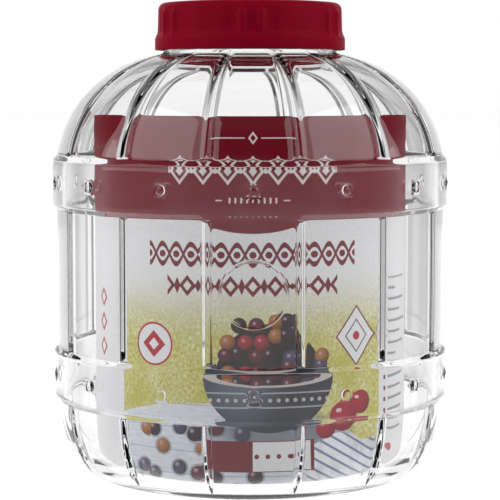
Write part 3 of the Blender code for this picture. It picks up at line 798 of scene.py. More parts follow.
@dataclass(frozen=True)
class PrintedCard(Finish):
    """Coated board, offset-printed on its face and bare on its back: soft sheen, paper grain, flat inks.

    The print is a still life: a stoneware bowl of berries on a pale table, a striped cloth and a meadow
    behind, under two rows of ornament and a dark band. Sizes are millimetres on the flat sheet.
    """

    radius: float
    thickness: float
    name: str = "printed_board"
    roughness: float = 0.5
    ior: float = 1.45
    sheen: float = 0.03
    # The grain of recycled fibres, drawn as coarse as it needs to be to show
    grain: float = 0.8
    fibre_height: float = 0.02 * MILLIMETRE

    front_half: float = 80.0
    band_bottom: float = 154.0
    tab_half: Pair = (27.0, 8.5)
    chain_swing: float = 5.4
    chain_wave: float = 17.0
    chain_half_line: float = 1.5

    meadow_top: float = 128.0
    meadow_full: float = 82.0
    table_middle: Pair = (-22.0, 8.0)
    table_half: Pair = (98.0, 45.0)
    plank: float = 13.0
    plank_half_gap: float = 0.3
    shadow_shift: float = 6.0
    shadow_half: Pair = (48.0, 13.0)
    shadow_full: float = 0.55
    shadow_depth: float = 0.75

    cloth_middle: Pair = (54.0, 18.0)
    cloth_half: Pair = (25.0, 24.0)
    cloth_edge: float = 32.0
    # The swing of the cloth's upper edge, and its angle in radians for each millimetre across
    cloth_swing: float = 3.0
    cloth_turn: float = 0.16
    stripe: float = 6.0
    stripe_slant: float = 0.6
    stripe_half_share: float = 0.13

    rim: Pair = (9.0, 68.0)
    bowl_half: Pair = (36.0, 31.0)
    mouth_half: float = 6.0
    lit_middle: Pair = (-7.2, 59.0)
    lit_half: Pair = (28.8, 26.0)
    bead_drop: float = 13.0
    bead_half: Pair = (1.1, 1.1)
    bead_spacing: float = 4.6
    bead_lines_half: Pair = (200.0, 4.4)
    heap_half: Pair = (33.0, 33.0)
    berry: float = 8.6
    loose_berry: float = 11.5
    loose_share: float = 0.72
    loose_middle: Pair = (-36.0, 20.0)
    loose_half: Pair = (44.0, 24.0)
    # Where a berry's light falls, and how far its shade and its gleam reach, in cells
    light_shift: Pair = (-0.13, 0.15)
    shade_reach: float = 0.66
    shade_levels: Pair = (1.7, 0.35)
    gleam_reach: Pair = (0.05, 0.14)
    gleam_share: float = 0.8
    # Each kind of berry starts at its share of the berries
    berry_inks: tuple[tuple[float, str], ...] = (
        (0.0, "#2C1522"),
        (0.34, "#4E1626"),
        (0.6, "#3A3550"),
        (0.74, "#8F5A2C"),
        (0.86, "#6B7036"),
        (0.94, "#8A1A26"),
    )
    # Where each fruit lies across and up, and its radius
    fruits: tuple[tuple[float, float, float], ...] = ((52.0, 44.0, 9.0), (64.0, 51.0, 7.0), (41.0, 38.0, 6.0))

    line_spacing: float = 6.2
    bar_half_share: float = 0.12
    dot_half_share: float = 0.19
    # How far across the shortest and the longest bar end
    bar_ends: Pair = (98.0, 118.0)
    bar_room: tuple[Pair, Pair] = ((109.0, 74.0), (20.0, 44.0))
    dot_room: tuple[Pair, Pair] = ((85.4, 74.0), (1.1, 44.0))

    def meadow(self, sheet: Sheet) -> None:
        """Prints the meadow: blurred patches and blades of grass, which fade upwards into bare paper.

        Args:
            sheet: The sheet to print on.
        """
        patches = sheet.speckle(size=16.0, low=0.35, high=0.65)
        blades = sheet.speckle(size=1.3, low=0.35, high=0.65, stretch=1.6)
        lawn = sheet.add("Mix", {0: patches, 6: Ink.SUNLIT_GRASS, 7: Ink.GRASS}, data_type="RGBA")
        bladed = sheet.add("Mix", {0: blades, 6: lawn, 7: Ink.SHADED_GRASS}, data_type="RGBA")
        levels = {0: sheet.up, 1: self.meadow_full, 2: self.meadow_top, 3: 1.0, 4: 0.0}
        sheet.lay(bladed, sheet.add("MapRange", levels, **SMOOTH))

    def table(self, sheet: Sheet) -> None:
        """Prints the table: pale planks with thin gaps, worn lighter in streaks, and the bowl's shadow.

        Args:
            sheet: The sheet to print on.
        """
        top = sheet.filled(Motif.OVAL, self.table_middle, self.table_half)
        sheet.lay(Ink.TABLE, top)
        streaks = sheet.speckle(size=9.0, low=0.4, high=0.75, stretch=0.2)
        sheet.lay(Ink.CLOTH, sheet.meet(top, streaks), share=0.6)
        gaps = sheet.striped(sheet.up, self.plank, self.plank_half_gap)
        sheet.lay(Ink.PLANK, sheet.meet(top, gaps), share=0.7)
        foot = (self.rim[0] + self.shadow_shift, self.rim[1] - self.bowl_half[1])
        away = sheet.reach(Motif.OVAL, foot, self.shadow_half)
        fade = {0: away, 1: self.shadow_full, 2: 1.0, 3: self.shadow_depth, 4: 0.0}
        sheet.lay(Ink.SHADOW, sheet.add("MapRange", fade))

    def cloth(self, sheet: Sheet) -> None:
        """Prints the cloth: pale, with slanting blue stripes, its upper edge a slow wave, and soft folds.

        Args:
            sheet: The sheet to print on.
        """
        angle = sheet.add("Math", {0: sheet.across, 1: self.cloth_turn}, operation="MULTIPLY")
        wave = sheet.add("Math", {0: angle}, operation="SINE")
        edge = sheet.add("Math", {0: wave, 1: self.cloth_swing, 2: self.cloth_edge}, operation="MULTIPLY_ADD")
        under = sheet.add("Math", {0: sheet.up, 1: edge}, operation="LESS_THAN")
        whole = sheet.meet(under, sheet.filled(Motif.OVAL, self.cloth_middle, self.cloth_half))
        sheet.lay(Ink.CLOTH, whole)
        slanted = {0: sheet.across, 1: self.stripe_slant, 2: sheet.up}
        slant = sheet.add("Math", slanted, operation="MULTIPLY_ADD")
        stripes = sheet.striped(slant, self.stripe, self.stripe * self.stripe_half_share)
        sheet.lay(Ink.STRIPE, sheet.meet(whole, stripes), share=0.8)
        folds = sheet.speckle(size=7.0, low=0.5, high=0.7, stretch=2.5)
        sheet.lay(Ink.SHADOW, sheet.meet(whole, folds), share=0.3)

    def berries(self, sheet: Sheet, size: float, scatter: float) -> tuple[Source, Source, Source, Source]:
        """Works out round berries, one in each cell of a Voronoi pattern, lit from the upper left.

        Args:
            sheet: The sheet.
            size: A cell's width.
            scatter: How far the berries stray from even rows.

        Returns:
            The berries' colours, the distance from the middle of each in cells, a random value for each, and
            the place of its middle.
        """
        pattern = {"Vector": sheet.spot, "Scale": 1 / size, "Randomness": scatter}
        cells = sheet.add("TexVoronoi", pattern, voronoi_dimensions="2D").outputs
        chance = sheet.add("SeparateXYZ", {0: cells["Color"]}).outputs
        kinds = sheet.add("ValToRGB", {0: chance["X"]})
        kinds.color_ramp.interpolation = "CONSTANT"
        stops = kinds.color_ramp.elements
        stops.remove(stops[1])
        stops[0].color = linear(self.berry_inks[0][1])
        for start, ink in self.berry_inks[1:]:
            stops.new(start).color = linear(ink)
        across, up = (size * share for share in self.light_shift)
        lit = sheet.add("VectorMath", {0: cells["Position"], 1: (across, up, 0.0)}, operation="ADD")
        away = sheet.add("VectorMath", {0: sheet.spot, 1: lit}, operation="DISTANCE")
        light, dark = self.shade_levels
        shade = sheet.add("MapRange", {0: away, 1: 0.0, 2: size * self.shade_reach, 3: light, 4: dark})
        tones = {0: 1.0, 6: kinds, 7: shade}
        shaded = sheet.add("Mix", tones, data_type="RGBA", blend_type="MULTIPLY")
        full, end = (size * share for share in self.gleam_reach)
        gleam = sheet.add("MapRange", {0: away, 1: full, 2: end, 3: self.gleam_share, 4: 0.0})
        gleaming = sheet.add("Mix", {0: gleam, 6: shaded, 7: Ink.GLEAM}, data_type="RGBA")
        return gleaming, cells["Distance"], chance["Y"], cells["Position"]

    def loose_berries(self, sheet: Sheet) -> None:
        """Prints berries that lie loose on the table, each with its soft shadow.

        Args:
            sheet: The sheet to print on.
        """
        colour, away, chance, middle = self.berries(sheet, self.loose_berry, scatter=0.75)
        kept = sheet.add("Math", {0: chance, 1: self.loose_share}, operation="LESS_THAN")
        spread = sheet.filled(Motif.OVAL, self.loose_middle, self.loose_half, middle)
        for limit, ink, share in ((0.46, Ink.SHADOW, 0.45), (0.36, colour, 1.0)):
            round_one = sheet.add("Math", {0: away, 1: limit}, operation="LESS_THAN")
            sheet.lay(ink, sheet.meet(round_one, kept, spread), share)

    def bowl(self, sheet: Sheet) -> None:
        """Prints the stoneware bowl, lit from the left, with a pale rim, and the berries heaped in it.

        Args:
            sheet: The sheet to print on.
        """
        across, up = self.rim
        wide = self.bowl_half[0]
        below = sheet.add("Math", {0: sheet.up, 1: up}, operation="LESS_THAN")
        above = sheet.add("Math", {0: 1.0, 1: below}, operation="SUBTRACT")
        side = sheet.meet(below, sheet.filled(Motif.OVAL, self.rim, self.bowl_half))
        light = sheet.reach(Motif.OVAL, self.lit_middle, self.lit_half)
        share = sheet.add("MapRange", {0: light, 3: 0.9, 4: 0.0}, **SMOOTH)
        glaze = sheet.add("Mix", {0: share, 6: Ink.GLAZE, 7: Ink.LIT_GLAZE}, data_type="RGBA")
        sheet.lay(glaze, side)
        bead_z = up - self.bead_drop
        beads = sheet.filled(Motif.OVAL, (0.0, bead_z), self.bead_half, sheet.repeated(self.bead_spacing))
        sheet.lay(Ink.PALE, sheet.meet(beads, side), share=0.7)
        lines = sheet.outlined(Motif.BAR, (across, bead_z), self.bead_lines_half, line=0.2)
        sheet.lay(Ink.PALE, sheet.meet(lines, side), share=0.5)
        mouth = (wide, self.mouth_half)
        sheet.lay(Ink.GAP, sheet.filled(Motif.OVAL, self.rim, mouth))
        colour, away, _, middle = self.berries(sheet, self.berry, scatter=0.55)
        inner = (self.heap_half[0] - self.berry / 2, self.heap_half[1] - self.berry / 2)
        heap = sheet.filled(Motif.OVAL, self.rim, self.heap_half, middle)
        edge = sheet.filled(Motif.OVAL, self.rim, (wide - 2.0, self.mouth_half - 1.4))
        near = sheet.add("Math", {0: away, 1: 0.5}, operation="LESS_THAN")
        backed = sheet.meet(sheet.filled(Motif.OVAL, self.rim, inner), above)
        for gaps, heaped in ((backed, sheet.meet(heap, above)), (edge, edge)):
            sheet.lay(Ink.GAP, gaps)
            sheet.lay(colour, sheet.meet(heaped, near))
        front_rim = sheet.meet(below, sheet.outlined(Motif.OVAL, self.rim, mouth, line=0.2))
        sheet.lay(Ink.PALE, front_rim, share=0.75)

    def fruit(self, sheet: Sheet) -> None:
        """Prints red fruits beside the bowl, each shaded from its upper left, with a gleam.

        Args:
            sheet: The sheet to print on.
        """
        for across, up, size in self.fruits:
            lit = sheet.reach(Motif.OVAL, (across - size * 0.3, up + size * 0.3), (size * 1.5, size * 1.5))
            shade = sheet.add("Mix", {0: lit, 6: Ink.RED, 7: Ink.BAND}, data_type="RGBA")
            sheet.lay(shade, sheet.filled(Motif.OVAL, (across, up), (size, size * 0.94)))
            gleam = (across - size * 0.35, up + size * 0.4)
            sheet.lay(Ink.PALE, sheet.filled(Motif.OVAL, gleam, (size * 0.2, size * 0.12)), share=0.8)

    def ornament_rows(self, sheet: Sheet) -> None:
        """Prints a chain of two crossing sine waves with dots in its loops, and a row of lozenges.

        Args:
            sheet: The sheet to print on.
        """
        row = sheet.filled(Motif.BAR, *CHAIN_ROOM)
        middle = CHAIN_ROOM[0][1]
        angle = sheet.add("Math", {0: sheet.across, 1: tau / self.chain_wave}, operation="MULTIPLY")
        wave = sheet.add("Math", {0: angle}, operation="COSINE")
        for swing in (-self.chain_swing, self.chain_swing):
            line = sheet.add("Math", {0: wave, 1: swing, 2: middle}, operation="MULTIPLY_ADD")
            near = sheet.add("Math", {0: sheet.up, 1: line, 2: self.chain_half_line}, operation="COMPARE")
            sheet.lay(Ink.BAND, sheet.meet(near, row))
        sheet.lay_marks(ORNAMENTS)

    def side_panels(self, sheet: Sheet) -> None:
        """Prints the plain side panels: short bars and dots to the right, three lozenges to the left.

        Args:
            sheet: The sheet to print on.
        """
        front = sheet.filled(Motif.BAR, (0.0, 100.0), (self.front_half, 300.0))
        sheet.lay(Ink.PAPER, sheet.add("Math", {0: 1.0, 1: front}, operation="SUBTRACT"))
        level = sheet.add("Math", {0: sheet.up, 1: self.line_spacing}, operation="DIVIDE")
        number = sheet.add("Math", {0: level}, operation="ROUND")
        within = sheet.add("Math", {0: level, 1: number}, operation="SUBTRACT")
        bar = sheet.add("Math", {0: within, 1: 0.0, 2: self.bar_half_share}, operation="COMPARE")
        chance = sheet.add("TexWhiteNoise", {"W": number}, noise_dimensions="1D")
        shortest, longest = self.bar_ends
        end = sheet.add("MapRange", {0: chance, 3: shortest, 4: longest})
        short = sheet.add("Math", {0: sheet.across, 1: end}, operation="LESS_THAN")
        sheet.lay(Ink.GREY, sheet.meet(bar, short, sheet.filled(Motif.BAR, *self.bar_room)), share=0.8)
        dot = sheet.add("Math", {0: within, 1: 0.0, 2: self.dot_half_share}, operation="COMPARE")
        sheet.lay(Ink.BAND, sheet.meet(dot, sheet.filled(Motif.BAR, *self.dot_room)))
        sheet.lay_marks(SIDE_MARKS)

    def band(self, sheet: Sheet) -> None:
        """Prints the dark band with its rounded tab and its pale marks.

        Args:
            sheet: The sheet to print on.
        """
        over = sheet.add("Math", {0: sheet.up, 1: self.band_bottom}, operation="GREATER_THAN")
        tab = sheet.filled(Motif.OVAL, (0.0, self.band_bottom), self.tab_half)
        sheet.lay(Ink.BAND, sheet.add("Math", {0: over, 1: tab}, operation="MAXIMUM"))
        sheet.lay_marks(BAND_MARKS)

    def surface(self, tree: Tree) -> Node:
        """Layers of ink, each a colour under a mask, then the paper's grain and the bare back.

        Args:
            tree: The material's node tree.

        Returns:
            The last shader node.
        """
        sheet = Sheet(tree, self.radius)
        for part in (self.meadow, self.table, self.cloth, self.loose_berries, self.bowl, self.fruit):
            part(sheet)
        sheet.lay_marks(BADGES + PLAQUE)
        for part in (self.ornament_rows, self.side_panels, self.band):
            part(sheet)
        sheet.lay(Ink.GRAIN, sheet.speckle(self.grain, 0.35, 0.7), blend="MULTIPLY")
        middle = self.radius - self.thickness / 2
        back = sheet.add("Math", {0: sheet.axis_square, 1: middle**2}, operation="LESS_THAN")
        sheet.lay(Ink.BARE_BOARD, back)
        fibres = {"Height": sheet.speckle(self.grain, 0.3, 0.8), "Distance": self.fibre_height}
        looks = {
            "Base Color": sheet.colour,
            "Roughness": self.roughness,
            "IOR": self.ior,
            "Specular IOR Level": self.sheen,
            "Normal": sheet.add("Bump", fibres),
        }
        return sheet.add("BsdfPrincipled", looks)


class Piece:
    """What every piece names: its object, its body, the solid that it replaces, its slot and its finish."""

    name: str
    body: str
    node: str
    slot: str
    finish: Finish


@dataclass
class GlassJar(Piece):
    """The jar: one moulding of staves, grooves, hoops, rivet heads, a plain ring and a threaded neck."""

    stave_count: int = 14
    stave_radius: float = 0.1125
    foot_radius: float = 0.0888
    heel_height: float = 0.0489
    shoulder_z: float = 0.1757
    dome_height: float = 0.0684
    crest_radius: float = 0.0394
    neck_radius: float = 0.0498
    mouth_radius: float = 0.0458
    rim_z: float = 0.2681
    rim_round: float = 0.0012
    neck_fillet: float = 0.0016
    body_wall: float = 0.0048
    dome_wall: float = 0.0046
    floor_z: float = 0.0071
    floor_radius: float = 0.0860
    foot_width: float = 0.0070
    push_up_slope: float = 0.0060
    push_up_height: float = 0.0030
    push_up_crown: float = 0.0012

    hoop_stand_out: float = 0.0020
    hoop_flat: float = 0.0253
    hoop_chamfer: float = 0.0026
    hoop_soft: float = 0.0002
    # How far past its flat a hoop still shapes the surface, in widths of its chamfer
    hoop_reach: float = 2.4
    lower_hoop_z: float = 0.0599
    upper_hoop_z: float = 0.1695

    rivet_radius: float = 0.0031
    rivet_height: float = 0.0010
    rivet_window: float = 0.0044
    moat_depth: float = 0.0006
    moat_width: float = 0.0009
    # Where the moat ends, as a share of half the window
    moat_end: float = 0.95

    groove_width: float = 0.0075
    groove_mouth: float = 0.0052
    groove_bottom: float = 0.0028
    groove_depth: float = 0.0034
    groove_round: float = 0.0006
    groove_soft: float = 0.0005
    shoulder_width: float = 0.0092
    shoulder_dip: float = 0.0005
    groove_neck_share: float = 0.55
    # How much wider than on the staves the grooves are at the dome's foot
    dome_spread: float = 1.55
    groove_end_z: float = 0.0065
    groove_end_power: float = 3.0
    groove_top_run: float = 0.0040
    # How much steeper than the hoops' edges the grooves end at the hoops' feet
    groove_end_steepness: float = 4.0

    ring_radius: float = 0.0180
    bead_radius: float = 0.0009
    bead_sunk: float = 0.00045
    ring_window: float = 0.0203

    thread_pitch: float = 0.0060
    thread_turns: float = 1.3
    thread_depth: float = 0.0014
    thread_root: float = 0.0030
    thread_crest: float = 0.0012
    thread_drop: float = 0.0050

    # How many steps or rows each stretch of the outer and of the inner outline has
    rim_steps: int = 4
    neck_steps: int = 30
    dome_steps: int = 52
    wall_steps: int = 6
    ring_steps: int = 13
    heel_steps: int = 32
    inner_dome_steps: int = 30
    inner_wall_steps: int = 8
    inner_heel_steps: int = 20
    inner_columns: int = 126
    # Where columns lie across a groove, in half widths from its middle
    groove_shares: tuple[float, ...] = (0.0, 0.3, 0.36, 0.43, 0.52, 0.61, 0.7, 0.88, 1.227)
    # The columns draw no closer together than at this share of a groove's full width
    least_share: float = 0.35
    # Rows and columns of a rivet's window, in half sizes of the window
    window_shares: tuple[float, ...] = (-1.0, -0.5, 0.0, 0.5, 1.0)
    # Rings of points about a rivet, as shares of its radius
    rivet_shares: tuple[float, ...] = (0.35, 0.6, 0.8, 0.93, 0.985, 1.0, 1.14, 1.29)
    # Rings inside the plain ring, as shares of its radius, and across its bead, in radii of the bead
    ring_shares: tuple[float, ...] = (0.15, 0.4, 0.65, 0.82)
    bead_shares: tuple[float, ...] = (-1.6, -1.15, -0.9, -0.68, -0.4, 0.0, 0.4, 0.68, 0.9, 1.15, 1.6)
    # Rows past a hoop's flat and on it, in widths of its chamfer
    beyond_shares: tuple[float, ...] = (2.0, 1.75, 1.5, 1.22, 1.1, 1.0, 0.9, 0.6, 0.25, 0.1, 0.0)
    inside_shares: tuple[float, ...] = (0.1, 0.25, 0.6)
    # How many more columns lie between a groove and a rivet, on most staves and on the front one
    between: int = 3
    between_front: int = 5
    # How far rows and columns may lie past a window's half size and still be its edge
    row_slack: float = 1.001
    column_slack: float = 1.02
    # How near to its window's edge a ring of points may come
    ring_limit: float = 0.97

    name: str = "moulded_jar"
    body: str = "jar"
    node: str = "glass_jar"
    slot: str = "clear_glass"
    finish: Finish = ClearGlass()

    @property
    def hoop_radius(self) -> float:
        """Radius of the hoops' flat faces."""
        return self.stave_radius + self.hoop_stand_out

    @property
    def stave_angle(self) -> float:
        """The angle that one stave takes."""
        return tau / self.stave_count

    @property
    def ring_z(self) -> float:
        """Height of the middle of the plain ring, half way between the hoops."""
        return (self.lower_hoop_z + self.upper_hoop_z) / 2

    @property
    def thread(self) -> Thread:
        """The neck's thread, whose top end lies a little under the rim.

        Returns:
            The thread, with its bottom worked out.
        """
        bottom = self.rim_z - self.thread_drop - self.thread_turns * self.thread_pitch
        form = (self.thread_turns, self.thread_depth, self.thread_root, self.thread_crest)
        return Thread(bottom, *form, self.thread_pitch)

    def column_places(self) -> tuple[Array, Array]:
        """Where the outer skin's columns lie.

        Each stave runs from one groove's middle to the next. Its columns are dense across the grooves, whose
        width changes up the jar, and across the rivet's window, which keeps its angle.

        Returns:
            For each column, the fixed part of its angle, and what is multiplied with the groove's half angle.
        """
        half = self.stave_angle / 2
        shares = np.array(self.groove_shares)
        window = np.array(self.window_shares) * self.rivet_window / self.hoop_radius
        inner_edge = half + window[0]
        outer_edge = half + window[-1]
        fixed = []
        moving = []
        for stave in range(self.stave_count):
            count = self.between_front if stave == 0 else self.between
            left = FRONT_ANGLE + self.stave_angle * stave - half
            step = np.arange(1, count + 1) / (count + 1)
            after = outer_edge + (2 * half - outer_edge) * step
            start = np.zeros(len(shares))
            end = np.full(len(shares) - 1, 2 * half)
            fixed.append(left + np.concatenate([start, inner_edge * step, half + window, after, end]))
            easing = shares[-1] * (1 - step)
            still = np.zeros(len(window))
            moving.append(np.concatenate([shares, easing, still, -shares[-1] * step, -shares[:0:-1]]))
        return np.concatenate(fixed), np.concatenate(moving)

    def hoop_rows(self, middle: float) -> Array:
        """Heights of the rows across one hoop, dense at its edges and in the rivets' windows.

        Args:
            middle: The hoop's middle height.

        Returns:
            The heights, from the top down.
        """
        flat = self.hoop_flat / 2
        chamfer = self.hoop_chamfer
        beyond = flat + chamfer * np.array(self.beyond_shares)
        inside = flat - chamfer * np.array(self.inside_shares)
        window = -np.array(self.window_shares) * self.rivet_window
        return middle + np.concatenate([beyond, inside, window, -inside[::-1], -beyond[::-1]])

    def outer_outline(self) -> Array:
        """The outline of the staves, from the rim's flat down the neck, dome and heel to the base's middle.

        Returns:
            (radius, height) rows, without the last point on the axis.
        """
        rim_centre = (self.neck_radius - self.rim_round, self.rim_z - self.rim_round)
        rim = arc(rim_centre, self.rim_round, self.rim_round, pi / 2, 0, self.rim_steps)
        dome_width = self.stave_radius - self.crest_radius
        top_angle = pi / 2 - asin((self.neck_radius - self.crest_radius) / dome_width)
        neck_foot = self.shoulder_z + self.dome_height * sin(top_angle)
        neck_top = self.rim_z - self.rim_round
        neck_z = np.linspace(neck_top, neck_foot + self.neck_fillet, self.neck_steps)[1:]
        neck = outline_rows(self.neck_radius, neck_z)

        high_row = self.hoop_rows(self.upper_hoop_z)[0]
        low_row = self.hoop_rows(self.lower_hoop_z)[-1]
        dome_end = asin((high_row - self.shoulder_z) / self.dome_height)
        dome_centre = (self.crest_radius, self.shoulder_z)
        dome = arc(dome_centre, dome_width, self.dome_height, top_angle, dome_end, self.dome_steps)[1:-1]
        fillet = (neck[-1] + [self.neck_fillet * 0.3, -self.neck_fillet * 0.7])[None]

        ring_rows = self.ring_z + np.linspace(1, -1, self.ring_steps) * self.ring_window
        upper = self.hoop_rows(self.upper_hoop_z)
        lower = self.hoop_rows(self.lower_hoop_z)
        above = np.linspace(upper[-1], ring_rows[0], self.wall_steps)[1:-1]
        below = np.linspace(ring_rows[-1], lower[0], self.wall_steps)[1:-1]
        heights = np.concatenate([upper, above, ring_rows, below, lower])
        straight = outline_rows(self.stave_radius_at(heights), heights)

        heel_width = self.stave_radius - self.foot_radius
        heel_start = asin((low_row - self.heel_height) / self.heel_height)
        heel_centre = (self.foot_radius, self.heel_height)
        heel = arc(heel_centre, heel_width, self.heel_height, heel_start, -pi / 2, self.heel_steps)[1:]

        foot_inner = self.foot_radius - self.foot_width
        push_up_radius = foot_inner - self.push_up_slope
        corners = [
            (self.foot_radius - self.foot_width / 2, 0),
            (foot_inner, 0),
            (push_up_radius, self.push_up_height),
            (push_up_radius / 2, self.push_up_height + self.push_up_crown * 0.75),
        ]
        base = rounded(corners, {1: 0.0016, 2: 0.0022}, 3)
        return np.concatenate([rim, neck, fillet, dome, straight, heel, base])

    def stave_radius_at(self, heights: Array) -> Array:
        """The staves' radius at heights near the straight part: both ends curve in as quarter ellipses.

        Args:
            heights: Heights between the heel and the dome's top.

        Returns:
            The radii.
        """
        up = np.clip((heights - self.shoulder_z) / self.dome_height, 0, 1)
        down = np.clip((self.heel_height - heights) / self.heel_height, 0, 1)
        dome = self.crest_radius + (self.stave_radius - self.crest_radius) * np.sqrt(1 - up**2)
        heel = self.foot_radius + (self.stave_radius - self.foot_radius) * np.sqrt(1 - down**2)
        return np.minimum(dome, heel)

    def groove_shares_at(self, outline: Array) -> Array:
        """The grooves' size at each row, next to their size on the straight staves.

        It falls evenly up the dome and ends there in a half round. Down the heel it falls as the square root
        of 1 - t^p, which gives the pointed end.

        Args:
            outline: The outline's rows.

        Returns:
            One share a row, 0 where there is no groove.
        """
        radius, height = outline.T
        up = np.clip((height - self.shoulder_z) / self.dome_height, 0, 1)
        shares = 1 - (1 - self.groove_neck_share) * up
        end = asin(1 - self.groove_end_z / self.heel_height)
        drop = np.clip((self.heel_height - height) / self.heel_height, 0, 1)
        down = np.arcsin(drop) / end
        shares *= np.sqrt(np.clip(1 - down**self.groove_end_power, 0, 1))
        room = np.clip((radius - self.neck_radius - self.neck_fillet) / self.groove_top_run, 0, 1)
        shares *= np.sqrt(1 - (1 - room) ** 2)
        return np.where(height < self.groove_end_z, 0, shares)

    def groove_spread(self, outline: Array) -> Array:
        """How much wider than their share the grooves are at each row: they widen under the upper hoop.

        Args:
            outline: The outline's rows.

        Returns:
            One factor a row.
        """
        start = self.upper_hoop_z
        share = (outline[:, 1] - start) / (self.hoop_flat / 2)
        return 1 + (self.dome_spread - 1) * smooth_step(share)

    def relief(self, outline: Array, angles: Array, shares: Array) -> Array:
        """How far the outer skin stands out of the staves' outline.

        A groove is a flat bottom with steep even walls, its corners softened, between shoulders that dip
        as (1 - u^2)^2. A hoop is the larger of the groove and a band with even slopes, so that its edges
        dip where a groove meets them. Under the staves' face its slopes are steeper, which ends the
        grooves in a wall.

        Args:
            outline: The outline's rows.
            angles: The angle of each point, by row and column.
            shares: The grooves' size at each row.

        Returns:
            The stand-out of each point.
        """
        radius = outline[:, 0, None]
        height = outline[:, 1, None]
        from_groove = (angles - FRONT_ANGLE) / self.stave_angle - 0.5
        across = np.abs(from_groove - np.round(from_groove)) * self.stave_angle * radius
        size = np.maximum(shares, TINY)[:, None]
        spread = self.groove_spread(outline)[:, None]
        across = across / spread
        slope = 2 * self.groove_depth / (self.groove_mouth - self.groove_bottom)
        wall = slope * (self.groove_mouth / 2 * size - across)
        eased = np.clip(1 - (across / (self.shoulder_width / 2 * size)) ** 2, 0, 1) ** 2
        shoulder = self.shoulder_dip * size * eased
        groove = smooth_max(wall, shoulder, self.groove_round * size * spread**3)
        groove = smooth_max(-groove, -self.groove_depth * size, self.groove_soft * size * spread**3)
        relief = np.minimum(groove, 0) * (shares[:, None] > 0)
        fall = self.hoop_stand_out / self.hoop_chamfer
        for middle in (self.lower_hoop_z, self.upper_hoop_z):
            past = np.abs(height - middle) - self.hoop_flat / 2
            drop = smooth_max(past, np.zeros_like(past), self.hoop_soft * 2) * fall
            band = self.hoop_radius - drop - radius
            band = np.where(band < 0, band * self.groove_end_steepness, band)
            reach = past < self.hoop_chamfer * self.hoop_reach
            relief = np.where(reach, smooth_max(relief, band, self.hoop_soft * 0.5), relief)
        on_neck = radius < self.neck_radius + self.rim_round / 10
        return relief + self.thread.ridge(height, angles) * on_neck

    def outer_skin(self, shell: Shell) -> tuple[Array, Array]:
        """Adds the outer skin, with a round patch for each rivet and for the ring.

        Args:
            shell: The surface to add it to.

        Returns:
            The top row's point numbers and their angles.
        """
        outline = self.outer_outline()
        shares = self.groove_shares_at(outline)
        fixed, moving = self.column_places()
        wide_share = np.maximum(shares, self.least_share) * self.groove_spread(outline)
        half_width = self.groove_width / 2 * wide_share
        half_angle = half_width / np.maximum(outline[:, 0], self.neck_radius)
        angles = fixed + half_angle[:, None] * moving
        relief = self.relief(outline, angles, shares)
        normals = line_normals(outline)
        radius = outline[:, 0, None] + relief * normals[:, 0, None]
        height = outline[:, 1, None] + relief * normals[:, 1, None]
        rows = shell.add(about_z(radius, angles, height))
        keep = np.ones((len(outline) - 1, len(fixed)), bool)
        radii = np.array(self.rivet_shares) * self.rivet_radius
        for stave in range(self.stave_count):
            middle = FRONT_ANGLE + self.stave_angle * stave
            for level in (self.lower_hoop_z, self.upper_hoop_z):
                window = (middle, level, self.rivet_window, self.hoop_radius)
                self.patch(shell, rows, keep, outline, angles, window, radii, self.rivet_relief)
        within = self.ring_radius * np.array(self.ring_shares)
        across = self.ring_radius + self.bead_radius * np.array(self.bead_shares)
        radii = np.concatenate([within, across])
        window = (FRONT_ANGLE, self.ring_z, self.ring_window, self.stave_radius)
        self.patch(shell, rows, keep, outline, angles, window, radii, self.ring_relief)
        shell.skin(rows, keep=keep)
        shell.fan(rows[-1], (0, 0, self.push_up_height + self.push_up_crown))
        return rows[0], angles[0]

    def rivet_relief(self, away: Array) -> Array:
        """A rivet head's height over the hoop, H (1 - (d/R)^2)^0.5, in a moat that dips as a smooth step.

        Args:
            away: Distances from the rivet's middle.

        Returns:
            The height at each.
        """
        dome = np.clip(1 - (away / self.rivet_radius) ** 2, 0, 1) ** 0.5
        moat_edge = self.rivet_window * self.moat_end - away
        moat = self.moat_depth * smooth_step(moat_edge / self.moat_width)
        return (self.rivet_height + self.moat_depth) * dome - moat

    def ring_relief(self, away: Array) -> Array:
        """The ring's bead over the stave: the part of a round wire on the ring that is not sunk in it."""
        left = np.clip(self.bead_radius**2 - (away - self.ring_radius) ** 2, 0, None)
        return np.maximum(np.sqrt(left) - self.bead_sunk, 0)

